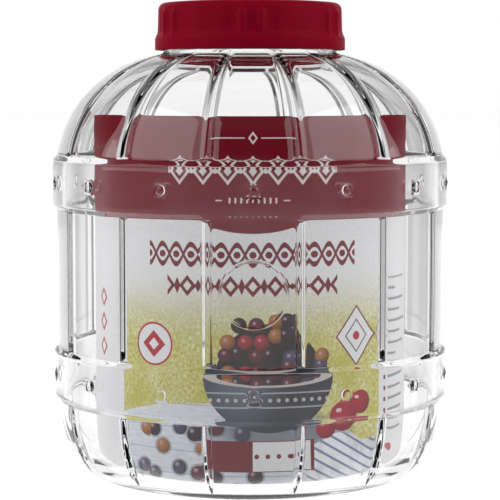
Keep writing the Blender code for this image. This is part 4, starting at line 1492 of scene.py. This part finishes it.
    def patch(
        self,
        shell: Shell,
        rows: Array,
        keep: Array,
        outline: Array,
        angles: Array,
        window: tuple[float, float, float, float],
        radii: Array,
        height_of: Callable[[Array], Array],
    ) -> None:
        """Replaces a square window of the skin by rings about its middle that carry a round feature.

        The rings are circles of the given radii, and the outermost meets the window's own edge points, each
        ring point lying on the line from the middle to its edge point.

        Args:
            shell: The surface.
            rows: The skin's point numbers.
            keep: Which of the skin's quads stay, which this changes.
            outline: The skin's outline.
            angles: The skin's angles.
            window: The middle's angle and height, half the window's size, and the radius of the surface.
            radii: The rings' radii, from the smallest.
            height_of: The stand-out over the surface, by the distance from the middle.
        """
        middle, level, size, radius = window
        inside = np.flatnonzero(np.abs(outline[:, 1] - level) < size * self.row_slack)
        inside = inside[np.abs(outline[inside, 0] - self.stave_radius) < TINY]
        row = inside[len(inside) // 2]
        offset = turn_from(middle, angles[row])
        columns = np.flatnonzero(np.abs(offset) * radius < size * self.column_slack)
        columns = columns[np.argsort(offset[columns])]
        top, bottom = inside[0], inside[-1]
        keep[top:bottom, columns[:-1]] = False
        upper, lower = (np.full(len(columns) - 1, row) for row in (top, bottom))
        left, right = (np.full(len(inside) - 1, column) for column in (columns[0], columns[-1]))
        edge_rows = np.concatenate([upper, inside[:-1], lower, inside[:0:-1]])
        edge_columns = np.concatenate([columns[:0:-1], left, columns[:-1], right])
        edge = rows[edge_rows, edge_columns]
        across = turn_from(middle, angles[edge_rows, edge_columns]) * radius
        along = outline[edge_rows, 1] - level
        reach = np.hypot(across, along)
        rings = np.broadcast_to(radii[:, None], (len(radii), len(edge)))
        rings = np.minimum(rings, np.minimum(reach, size * self.ring_limit))
        turn = middle + across / reach * rings / radius
        height = level + along / reach * rings
        out = radius + height_of(rings)
        numbers = shell.add(about_z(out, turn, height))
        shell.skin(np.concatenate([edge[None], numbers[::-1]]), inwards=True)
        top_point = radius + height_of(np.zeros(1))[0]
        tip = (top_point * cos(middle), top_point * sin(middle), level)
        shell.fan(numbers[0], tip, inwards=True)

    def inner_skin(self, shell: Shell) -> tuple[Array, Array]:
        """Adds the smooth inner skin: floor, heel, wall, dome and mouth.

        Args:
            shell: The surface to add it to.

        Returns:
            The top row's point numbers and their angles.
        """
        inner_radius = self.stave_radius - self.body_wall
        width = inner_radius - self.crest_radius
        height = self.dome_height - self.dome_wall
        mouth_angle = pi / 2 - asin((self.mouth_radius - self.crest_radius) / width)
        rim_centre = (self.mouth_radius + self.rim_round, self.rim_z - self.rim_round)
        rim = arc(rim_centre, -self.rim_round, self.rim_round, pi / 2, 0, self.rim_steps)
        dome_centre = (self.crest_radius, self.shoulder_z)
        dome = arc(dome_centre, width, height, mouth_angle, 0, self.inner_dome_steps)
        neck_z = np.linspace(rim[-1, 1], dome[0, 1], self.wall_steps)[1:-1]
        neck = outline_rows(self.mouth_radius, neck_z)
        wall_z = np.linspace(self.shoulder_z, self.heel_height, self.inner_wall_steps)[1:-1]
        wall = outline_rows(inner_radius, wall_z)
        heel_height = self.heel_height - self.floor_z
        heel_width = inner_radius - self.floor_radius
        heel_centre = (self.floor_radius, self.heel_height)
        heel = arc(heel_centre, heel_width, heel_height, 0, -pi / 2, self.inner_heel_steps)
        floor = np.array([(self.floor_radius * share, self.floor_z) for share in (0.7, 0.35)])
        outline = np.concatenate([rim, neck, dome, wall, heel, floor])
        angles = even_angles(self.inner_columns)
        rows = shell.add(turned_rows(outline, angles))
        shell.skin(rows, inwards=True)
        shell.fan(rows[-1], (0, 0, self.floor_z), inwards=True)
        return rows[0], angles

    def build(self) -> Object:
        """Makes the jar and puts it in place of its solid.

        Returns:
            The jar's object.
        """
        shell = Shell()
        outer, outer_angles = self.outer_skin(shell)
        inner, inner_angles = self.inner_skin(shell)
        turned = np.mod(outer_angles, tau)
        order = np.argsort(turned)
        shell.zip_up(outer[order], turned[order], inner, inner_angles)
        return place(self, shell)


@dataclass
class ScrewLid(Piece):
    """The screw lid: a domed crown with a well for the bung, gripped sides, a stepped skirt and a thread."""

    bottom_z: float = 0.2453
    seat: float = 0.0247
    edge: float = 0.0271
    top: float = 0.0291
    inner_radius: float = 0.0517
    side_radius: float = 0.0535
    skirt_radius: float = 0.0551
    skirt_height: float = 0.0067
    chamfer: float = 0.0035
    edge_round: float = 0.0040
    draft: float = 0.0004
    crown_radius: float = 0.0491
    crown_rise: float = 0.0020
    wall: float = 0.0024
    well_radius: float = 0.0133
    well_floor: float = 0.0266
    hole_radius: float = 0.0103
    hub_wall: float = 0.0024
    hub_thickness: float = 0.0020
    shell_radius: float = 0.0440
    relief_width: float = 0.0009
    relief_height: float = 0.0040

    grip_groups: int = 6
    grip_spacing: float = 0.0106
    grip_radius: float = 0.0026
    grip_stand_out: float = 0.0013
    grip_top_drop: float = 0.0062
    grip_power: float = 0.75
    grip_soft: float = 0.0002
    scoop_place: float = 0.0118
    scoop_width: float = 0.0044
    scoop_depth: float = 0.0004
    # Where the scoops start and end, and over how much they rise and fall, in heights of the plain side
    scoop_start: float = -0.3
    scoop_rise: float = 0.4
    scoop_end: float = 1.6
    scoop_fall: float = 0.6
    # Half of the stretch round each group whose columns are dense, and how many steps each stretch has
    dense_reach: float = 0.0175
    dense_steps: int = 40
    plain_steps: int = 7

    thread: Thread = Thread(bottom=0.0076, turns=1.1, depth=0.0013, root=0.0026, crest=0.0010)
    # How many steps each stretch of the outline has
    crown_steps: int = 9
    edge_steps: int = 9
    side_steps: int = 18
    bore_steps: int = 34
    under_steps: int = 5

    name: str = "screw_lid_shell"
    body: str = "lid"
    node: str = "screw_lid"
    slot: str = "raspberry_plastic"
    finish: Finish = SatinPlastic("raspberry_polypropylene", "#6E0419", "#660316")

    def crown_z(self, radius: Array | float) -> Array | float:
        """Height of the domed top over the lid's bottom edge: the top less the rise times (r / R)^2."""
        return self.top - self.crown_rise * (radius / self.crown_radius) ** 2

    def outline(self) -> Array:
        """The closed outline: well, crown, edge, side, skirt, inside, hub and the well's floor.

        Returns:
            (radius, height) rows over the lid's bottom edge.
        """
        well_top = self.crown_z(self.well_radius)
        well = rounded([(self.well_radius, self.well_floor), (self.well_radius, well_top)], {1: 0.0004}, 2)
        crown_radii = np.linspace(self.well_radius + 0.0010, self.crown_radius, self.crown_steps)
        crown = outline_rows(crown_radii, self.crown_z(crown_radii))
        edge_centre = (self.crown_radius, self.edge - self.edge_round)
        edge = arc(edge_centre, self.edge_round, self.edge_round, pi / 2, 0, self.edge_steps)
        side_bottom = self.skirt_height + self.chamfer
        side_z = np.linspace(edge[-1, 1], side_bottom, self.side_steps)[1:-1]
        share = (side_z - side_bottom) / (edge[-1, 1] - side_bottom)
        side = outline_rows(self.side_radius - self.draft * share, side_z)
        bore_bottom = self.relief_height + self.relief_width
        corners = [
            (self.side_radius, side_bottom + 0.0008),
            (self.side_radius, side_bottom),
            (self.skirt_radius, self.skirt_height),
            (self.skirt_radius, self.skirt_height / 2),
            (self.skirt_radius, 0),
            (self.inner_radius + self.relief_width, 0),
            (self.inner_radius + self.relief_width, self.relief_height),
            (self.inner_radius, bore_bottom),
        ]
        skirt = rounded(corners, {1: 0.0012, 2: 0.0009, 4: 0.0005, 5: 0.0003}, 4)
        thread_z = np.linspace(bore_bottom, self.seat, self.bore_steps)[1:]
        bore = outline_rows(self.inner_radius, thread_z)
        hub_radius = self.well_radius + self.hub_wall
        hub_bottom = self.well_floor - self.hub_thickness
        under_radii = np.linspace(self.shell_radius, hub_radius, self.under_steps)
        under = outline_rows(under_radii, self.crown_z(under_radii) - self.wall)
        corners = [
            (hub_radius, hub_bottom + 0.0010),
            (hub_radius, hub_bottom),
            (self.hole_radius, hub_bottom),
            (self.hole_radius, self.well_floor),
        ]
        hub = rounded(corners, {1: 0.0004, 2: 0.0003}, 2)
        seat_edge = [(self.shell_radius, self.seat)]
        return np.concatenate([well, crown, edge, side, skirt, bore, seat_edge, under, hub])

    def columns(self) -> Array:
        """Angles of the columns: dense steps across each group of grips and a few between the groups.

        Returns:
            The angles, once round the lid.
        """
        reach = self.dense_reach / self.side_radius
        group = tau / self.grip_groups
        dense = np.linspace(-reach, reach, self.dense_steps + 1)
        plain = np.linspace(reach, group - reach, self.plain_steps + 1)[1:-1]
        one = np.concatenate([dense, plain])
        starts = FRONT_ANGLE + group * np.arange(self.grip_groups)
        return (starts[:, None] + one).ravel()

    def relief(self, outline: Array, angles: Array) -> Array:
        """How far the side stands out of its outline.

        Each rib is H (1 - (d/R)^2)^0.75 of the distance d from an upright line, so its top is round. It is
        laid over the outline as the larger of the two. Each scoop is a smooth dip beside a pair of ribs.

        Args:
            outline: The lid's outline.
            angles: The columns' angles.

        Returns:
            The stand-out by row and column.
        """
        group = tau / self.grip_groups
        offset = (angles - FRONT_ANGLE) / group
        across = ((offset - np.round(offset)) * group * self.side_radius)[None]
        height = outline[:, 1, None]
        radius = outline[:, 0, None]
        top = self.top - self.grip_top_drop - self.grip_radius
        bottom = self.skirt_height
        past = np.maximum(np.maximum(height - top, bottom - height), 0)
        rib = np.zeros((len(outline), len(angles)))
        for side in (-1, 1):
            away = np.hypot(across - side * self.grip_spacing / 2, past)
            one = np.clip(1 - (away / self.grip_radius) ** 2, 0, 1) ** self.grip_power
            rib = np.maximum(rib, one)
        share = (height - bottom - self.chamfer) / (top - bottom - self.chamfer)
        rise = smooth_step((share - self.scoop_start) / self.scoop_rise)
        window = rise * smooth_step((self.scoop_end - share) / self.scoop_fall)
        dip = 1 - np.clip(np.abs(np.abs(across) - self.scoop_place) / self.scoop_width, 0, 1)
        scoop = self.scoop_depth * smooth_step(dip) * window
        rib_radius = self.side_radius + self.grip_stand_out * rib
        stand_out = np.where(rib > 0, smooth_max(rib_radius - radius, 0 * rib, self.grip_soft), 0)
        outside = (radius > self.side_radius - self.edge_round) & (height > bottom) & (height < self.edge)
        before_skirt_end = np.arange(len(outline))[:, None] < np.argmin(outline[:, 1])
        return np.where(outside & before_skirt_end, stand_out - scoop, 0)

    def build(self) -> Object:
        """Makes the lid and puts it in place of its solid.

        Returns:
            The lid's object.
        """
        outline = self.outline()
        angles = self.columns()
        points = turned_rows(outline + [0, self.bottom_z], angles)
        outwards = about_z(1.0, angles, 0.0)
        on_bore = np.abs(outline[:, 0, None] - self.inner_radius) < TINY
        inwards = self.thread.ridge(outline[:, 1, None], angles) * on_bore
        points = points + (self.relief(outline, angles) - inwards)[..., None] * outwards
        shell = Shell()
        rows = shell.add(points)
        shell.skin(np.concatenate([rows, rows[:1]]))
        return place(self, shell, SHARP_EDGE)


@dataclass
class Turned(Piece):
    """A small turned piece: a closed outline about an axis."""

    name: str
    body: str
    node: str
    slot: str
    finish: Finish
    outline: Array
    columns: int
    axis_point: Point = (0.0, 0.0, 0.0)
    along_x: bool = False

    def build(self) -> Object:
        """Makes the piece and puts it in place of its solid.

        Returns:
            The piece's object.
        """
        shell = Shell()
        points = turned_rows(self.outline, even_angles(self.columns))
        if self.along_x:
            points = points[..., [2, 1, 0]] * [1, 1, -1]
        rows = shell.add(points + self.axis_point)
        shell.skin(np.concatenate([rows, rows[:1]]))
        return place(self, shell, SHARP_EDGE)


@dataclass
class CardInsert(Piece):
    """The printed card that stands curled inside the jar, open to the back."""

    radius: float = 0.0905
    thickness: float = 0.0005
    width: float = 0.3000
    bottom_z: float = 0.0084
    top_z: float = 0.2078
    columns: int = 160
    rows: int = 40

    name: str = "printed_card_sheet"
    body: str = "jar"
    node: str = "card_insert"
    slot: str = "printed_card"

    @property
    def finish(self) -> PrintedCard:
        """The print, laid out for the card's curl."""
        return PrintedCard(self.radius, self.thickness)

    def build(self) -> Object:
        """Makes the card: at each height, a ring of points out along its face and home along its back.

        Returns:
            The card's object.
        """
        half = self.width / self.radius / 2
        angles = FRONT_ANGLE + np.linspace(-half, half, self.columns + 1)
        around = np.concatenate([angles, angles[::-1]])
        radii = np.repeat([self.radius, self.radius - self.thickness], self.columns + 1)
        heights = np.linspace(self.top_z, self.bottom_z, self.rows + 1)[:, None]
        shell = Shell()
        rows = shell.add(about_z(radii, around, heights))
        shell.skin(rows)
        face = slice(0, self.columns + 1)
        back = slice(None, self.columns, -1)
        shell.skin(np.stack([rows[0, back], rows[0, face]]), open_rows=True)
        shell.skin(np.stack([rows[-1, face], rows[-1, back]]), open_rows=True)
        return place(self, shell, SHARP_EDGE)


@dataclass
class Airlock(Piece):
    """The clear twin-bubble airlock that lies behind the card: one blown tube with two bubbles and a cup."""

    start: Point = (-0.06999, -0.01975, 0.0179)
    length: float = 0.13997
    tube_radius: float = 0.0040
    wall: float = 0.0012
    second_run: float = 0.0170
    third_run: float = 0.0395
    stem_length: float = 0.08497
    column: float = 0.0300
    bubble_radius: float = 0.0105
    bubble_length: float = 0.0220
    cup_radius: float = 0.0085
    cup_neck: float = 0.0060
    cup_flare: float = 0.0050
    # How many points the centre line has along each stretch
    stem_points: int = 15
    turn_points: int = 25
    bubble_points: int = 33
    flare_points: int = 11
    mouth_points: int = 5
    sides: int = 32
    sharp_edge: float = radians(60)

    name: str = "blown_airlock"
    body: str = "jar"
    node: str = "airlock_tube"
    slot: str = "clear_plastic"
    finish: Finish = ClearPlastic()

    def path(self) -> tuple[Array, Array]:
        """The centre line and the tube's outer radius along it.

        A bubble swells as r = tube + swell (1 - s^2)^0.6, for s from -1 to 1 along it.

        Returns:
            (along, across) rows, and one radius a row.
        """
        low = self.stem_length
        high = low + self.column
        middle = (low + high) / 2
        upper_turn = self.second_run / 2
        lower_turn = (self.third_run - self.second_run) / 2
        lower_centre = self.second_run + lower_turn
        tube = self.tube_radius
        share = -np.cos(np.linspace(0, pi, self.bubble_points))
        swell = tube + (self.bubble_radius - tube) * (1 - share**2) ** 0.6
        reach = self.bubble_length / 2 * share
        turn = np.linspace(-pi / 2, pi / 2, self.turn_points)
        flare = np.linspace(0, 1, self.flare_points)
        cup = high + self.cup_neck + self.cup_flare * flare
        # Each stretch of the tube: how far along and across its points lie, and its radius
        stretches = (
            (np.linspace(0, high, self.stem_points + 1)[:-1], 0, tube),
            (high + upper_turn * np.cos(turn), upper_turn + upper_turn * np.sin(turn), tube),
            (middle - reach, self.second_run, swell),
            (low - lower_turn * np.cos(turn), lower_centre + lower_turn * np.sin(turn), tube),
            (middle + reach, self.third_run, swell),
            (cup, self.third_run, tube + (self.cup_radius - tube) * smooth_step(flare)),
            (np.linspace(cup[-1], self.length, self.mouth_points + 1)[1:], self.third_run, self.cup_radius),
        )
        rows = np.concatenate([np.stack(np.broadcast_arrays(*part), axis=-1) for part in stretches])
        return rows[:, :2], rows[:, 2]

    def build(self) -> Object:
        """Makes the tube: circles square to the centre line, outside there and inside back.

        Returns:
            The airlock's object.
        """
        line, radius = self.path()
        side = line_normals(line)
        angles = even_angles(self.sides)
        shell = Shell()
        skins = []
        for size in (radius, radius - self.wall):
            across = size[:, None] * np.cos(angles)
            flat = line[:, None] + side[:, None] * across[..., None]
            up = size[:, None] * np.sin(angles)
            points = np.concatenate([flat, up[..., None]], axis=-1) + self.start
            skins.append(shell.add(points))
        outer, inner = skins
        shell.skin(np.concatenate([outer, inner[::-1], outer[:1]]), inwards=True)
        return place(self, shell, self.sharp_edge)


def place(piece: Piece, shell: Shell, sharp: float | None = None) -> Object:
    """Shows a piece, lets it ride on its body and puts it in place of its solid.

    Args:
        piece: The sub-assembly, which names its object, body, node, slot and finish.
        shell: Its surface.
        sharp: Edges that turn by more than this angle stay sharp.

    Returns:
        The piece's object.
    """
    mesh = shell.mesh(piece.name, sharp)
    made = show(piece.name, mesh)
    mesh.materials.append(piece.finish.material())
    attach(made, piece.body)
    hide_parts(piece.node)
    log.info("%s: %d faces", piece.name, len(mesh.polygons))
    return made


def liner() -> Turned:
    """The soft sealing ring between the lid and the jar's rim, with eased corners.

    Returns:
        The liner, still to be built.
    """
    inner, outer, low, high = 0.0440, 0.0514, 0.2684, 0.2697
    corners = [(outer, high), (outer, low), (inner, low), (inner, high)]
    outline = rounded(corners, dict.fromkeys(range(len(corners)), 0.0003), 3)
    return Turned("foam_liner", "liner", "lid_liner", "liner_foam", SoftFoam(), outline, columns=128)


def bung() -> Turned:
    """The rubber bung: a flange, a slightly tapered plug, and a bore with eased edges.

    Returns:
        The bung, still to be built.
    """
    top, flange, body, bore = 0.2744, 0.0130, 0.0100, 0.0042
    flange_z = top - 0.0022
    straight_z = flange_z - 0.0020
    bottom_z = flange_z - 0.0095
    end_radius = body - 0.0008
    corners = [
        (bore, top),
        (flange, top),
        (flange, flange_z),
        (body, flange_z),
        (body, straight_z),
        (end_radius, bottom_z),
        (bore, bottom_z),
    ]
    eased = {0: 0.0006, 1: 0.0006, 2: 0.0003, 5: 0.0007, 6: 0.0004}
    outline = rounded(corners, eased, 4)
    return Turned("rubber_bung", "bung", "airlock_bung", "bung_rubber", MattRubber(), outline, columns=80)


def cap() -> Turned:
    """The airlock's dust cap: a thin cup with a rounded crown and an eased lip, which lies on its side.

    Returns:
        The cap, still to be built.
    """
    inner, outer, wall, overlap = 0.0088, 0.0099, 0.0011, 0.0080
    # The outline starts and ends next to the axis, since a turned outline is closed round it
    axis = 0.0001
    corners = [
        (axis, wall),
        (outer - wall, wall),
        (outer, 0),
        (outer, -overlap),
        (inner, -overlap),
        (inner, 0),
        (axis, 0),
    ]
    outline = rounded(corners, {1: 0.0006, 2: 0.0006, 3: 0.0003, 4: 0.0003, 5: 0.0004}, 3)
    return Turned(
        name="dust_cap",
        body="cap",
        node="airlock_cap",
        slot="raspberry_plastic",
        finish=SatinPlastic("cap_polypropylene", "#8E0A26", "#84081F"),
        outline=outline,
        columns=72,
        axis_point=(0.07028, 0.01975, 0.0179),
        along_x=True,
    )


@dataclass(frozen=True)
class SoftBox:
    """A pair of large upright soft boxes that face the jar, one on each side. Angles are in degrees."""

    name: str
    azimuth: float
    half_width: float
    bottom: float
    top: float
    radiance: float
    diffuse_share: float
    # Whether the glass mirrors them and shows them through itself
    in_glass: bool = False
    distance: float = 2.0

    def build(self, side: int, target: Point) -> None:
        """Adds one of the two lamps.

        Args:
            side: -1 for the left one and 1 for the right one.
            target: The point that its lower and upper edges are measured from.
        """
        low = self.distance * tan(radians(self.bottom))
        high = self.distance * tan(radians(self.top))
        name = ("left_" if side < 0 else "right_") + self.name
        data = bpy.data.lights.new(name, "AREA")
        data.shape = "RECTANGLE"
        data.size = 2 * self.distance * tan(radians(self.half_width))
        data.size_y = high - low
        data.energy = self.radiance * pi * data.size * data.size_y
        data.diffuse_factor = self.diffuse_share
        made = show(name, data)
        azimuth = side * radians(self.azimuth)
        away = Vector((sin(azimuth), -cos(azimuth), 0.0))
        made.location = Vector(target) + away * self.distance + Vector((0, 0, (low + high) / 2))
        made.rotation_euler = (-away).to_track_quat("-Z", "Y").to_euler()
        made.visible_glossy = self.in_glass
        made.visible_transmission = self.in_glass
        made.visible_camera = False


@dataclass
class Studio:
    """The camera at the photograph's viewing angle, the pale floor and the soft light."""

    distance: float = 1.1118
    height: float = 0.2251
    side_angle: float = radians(1.0)
    pitch: float = radians(4.945)
    lens: float = 137.13
    sensor_width: float = 36.0
    farthest: float = 50.0
    floor_size: float = 40.0
    target: Point = (0.0, 0.0, 0.13)
    lamps: tuple[SoftBox, ...] = (
        SoftBox("front_box", 63, 34, bottom=7, top=56, radiance=1.75, diffuse_share=0.42, in_glass=True),
        SoftBox("wash", 74, 18, bottom=2, top=50, radiance=4.2, diffuse_share=1.0),
        SoftBox("back_box", 128, 13, bottom=-3, top=50, radiance=1.4, diffuse_share=0.8),
        SoftBox("far_wash", 158, 18, bottom=4, top=50, radiance=3.2, diffuse_share=1.0),
    )

    # Through the glass the surroundings are white in the main directions and pale grey between them
    main_spacing: float = radians(45)
    white_reach: float = radians(7)
    grey_start: float = radians(13)
    grey_level: float = 0.48
    # A little over white, which makes up for what four glass surfaces turn back
    white_level: float = 1.08
    # They fall off over this sine of the elevation, to this share
    level_reach: float = 0.22
    level_fade: float = 0.2
    high_share: float = 0.1
    # Straight overhead they are pale again, over this sine of the elevation
    over_reach: float = 0.6
    over_full: float = 0.8
    over_level: float = 0.6
    # In front of the jar, where only reflections inside the glass look, they are dim
    front_share: float = 0.25
    front_reach: float = 0.1
    front_fade: float = 0.25
    # What reflections show over the horizon and just at it
    mirror_level: float = 0.06
    horizon_level: float = 0.5
    horizon_reach: float = 0.12
    # Behind the jar they show the pale backdrop, which lights the edges of the glass
    backdrop_level: float = 0.95
    backdrop_start: float = 0.5
    backdrop_full: float = 0.9
    # What lights matt surfaces from all round
    fill_level: float = 0.22

    def camera(self) -> None:
        """Makes the camera and sets it as the scene's."""
        data = bpy.data.cameras.new("camera")
        data.lens = self.lens
        data.sensor_width = self.sensor_width
        data.clip_end = self.farthest
        made = show("camera", data)
        across = -self.distance * sin(self.side_angle)
        made.location = (across, -self.distance * cos(self.side_angle), self.height)
        made.rotation_euler = (pi / 2 - self.pitch, 0, -self.side_angle)
        bpy.context.scene.camera = made

    def through(self, tree: Tree, axes: Outputs) -> Node:
        """How bright the surroundings are through the glass.

        Args:
            tree: The world's node tree.
            axes: The view's direction along X, Y and Z.

        Returns:
            The level's node.
        """
        rise = axes["Z"]
        turn = add_node(tree, "Math", {0: axes["X"], 1: axes["Y"]}, operation="ARCTAN2")
        fold = add_node(tree, "Math", {0: turn, 1: self.main_spacing / 2}, operation="PINGPONG")
        levels = {0: fold, 1: self.white_reach, 2: self.grey_start, 3: 1.0, 4: self.grey_level}
        around = add_node(tree, "MapRange", levels, **SMOOTH)
        levels = {0: rise, 1: -self.level_reach, 2: -self.level_reach / 2, 3: 1.0, 4: around}
        low = add_node(tree, "MapRange", levels, **SMOOTH)
        end = self.level_reach + self.level_fade
        levels = {0: rise, 1: self.level_reach, 2: end, 3: self.white_level, 4: self.high_share}
        upright = add_node(tree, "MapRange", levels, **SMOOTH)
        levels = {0: rise, 1: self.over_reach, 2: self.over_full, 3: 0.0, 4: self.over_level}
        over = add_node(tree, "MapRange", levels, **SMOOTH)
        sides = add_node(tree, "Math", {0: low, 1: upright}, operation="MULTIPLY")
        level = add_node(tree, "Math", {0: sides, 1: over}, operation="MAXIMUM")
        levels = {0: axes["Y"], 1: -self.front_reach, 2: self.front_fade, 3: self.front_share, 4: 1.0}
        behind = add_node(tree, "MapRange", levels, **SMOOTH)
        return add_node(tree, "Math", {0: level, 1: behind}, operation="MULTIPLY")

    def reflected(self, tree: Tree, axes: Outputs) -> Node:
        """How bright the surroundings are in reflections: dim, but for the horizon and the backdrop.

        Args:
            tree: The world's node tree.
            axes: The view's direction along X, Y and Z.

        Returns:
            The level's node.
        """
        levels = {0: axes["Z"], 1: 0.0, 2: self.horizon_reach, 3: self.horizon_level, 4: self.mirror_level}
        mirrored = add_node(tree, "MapRange", levels, **SMOOTH)
        levels = {0: axes["Y"], 1: self.backdrop_start, 2: self.backdrop_full, 3: 0.0, 4: self.backdrop_level}
        backdrop = add_node(tree, "MapRange", levels, **SMOOTH)
        return add_node(tree, "Math", {0: mirrored, 1: backdrop}, operation="MAXIMUM")

    def world(self) -> None:
        """Makes the world: white to the camera and through the glass, dim in reflections, else soft."""
        made = bpy.data.worlds.new("studio")
        bpy.context.scene.world = made
        made.use_nodes = True
        tree = made.node_tree
        tree.nodes.clear()
        way = add_node(tree, "TexCoord").outputs["Generated"]
        axes = add_node(tree, "SeparateXYZ", {0: way}).outputs
        through = self.through(tree, axes)
        reflected = self.reflected(tree, axes)
        path = add_node(tree, "LightPath").outputs
        glossy = add_node(tree, "Mix", {0: path["Is Glossy Ray"], 2: self.fill_level, 3: reflected})
        glass = add_node(tree, "Mix", {0: path["Is Transmission Ray"], 2: glossy, 3: through})
        seen = add_node(tree, "Mix", {0: path["Is Camera Ray"], 2: glass, 3: 1.0})
        background = add_node(tree, "Background", {"Color": WHITE, "Strength": seen})
        add_node(tree, "OutputWorld", {"Surface": background})

    def floor(self) -> None:
        """Makes the pale floor."""
        half = self.floor_size / 2
        corners = [(-half, -half, 0), (half, -half, 0), (half, half, 0), (-half, half, 0)]
        mesh = bpy.data.meshes.new("floor")
        mesh.from_pydata(corners, [], [(0, 1, 2, 3)])
        made = show("floor", mesh)
        mesh.materials.append(PaleFloor().material())
        made.visible_transmission = False

    def build(self) -> None:
        """Makes the whole studio."""
        self.camera()
        self.world()
        self.floor()
        for side in (-1, 1):
            for lamp in self.lamps:
                lamp.build(side, self.target)
        scene = bpy.context.scene
        scene.view_settings.view_transform = "Standard"
        scene.cycles.max_bounces = 32
        scene.cycles.transmission_bounces = 20
        scene.cycles.transparent_max_bounces = 16
        scene.cycles.glossy_bounces = 7


def main() -> None:
    """Builds the pieces in order and reports each."""
    logging.basicConfig(level=logging.INFO, format="%(message)s")
    Studio().build()
    for piece in (GlassJar(), ScrewLid(), liner(), bung(), CardInsert(), Airlock(), cap()):
        piece.build()


if __name__ == "__main__":
    main()
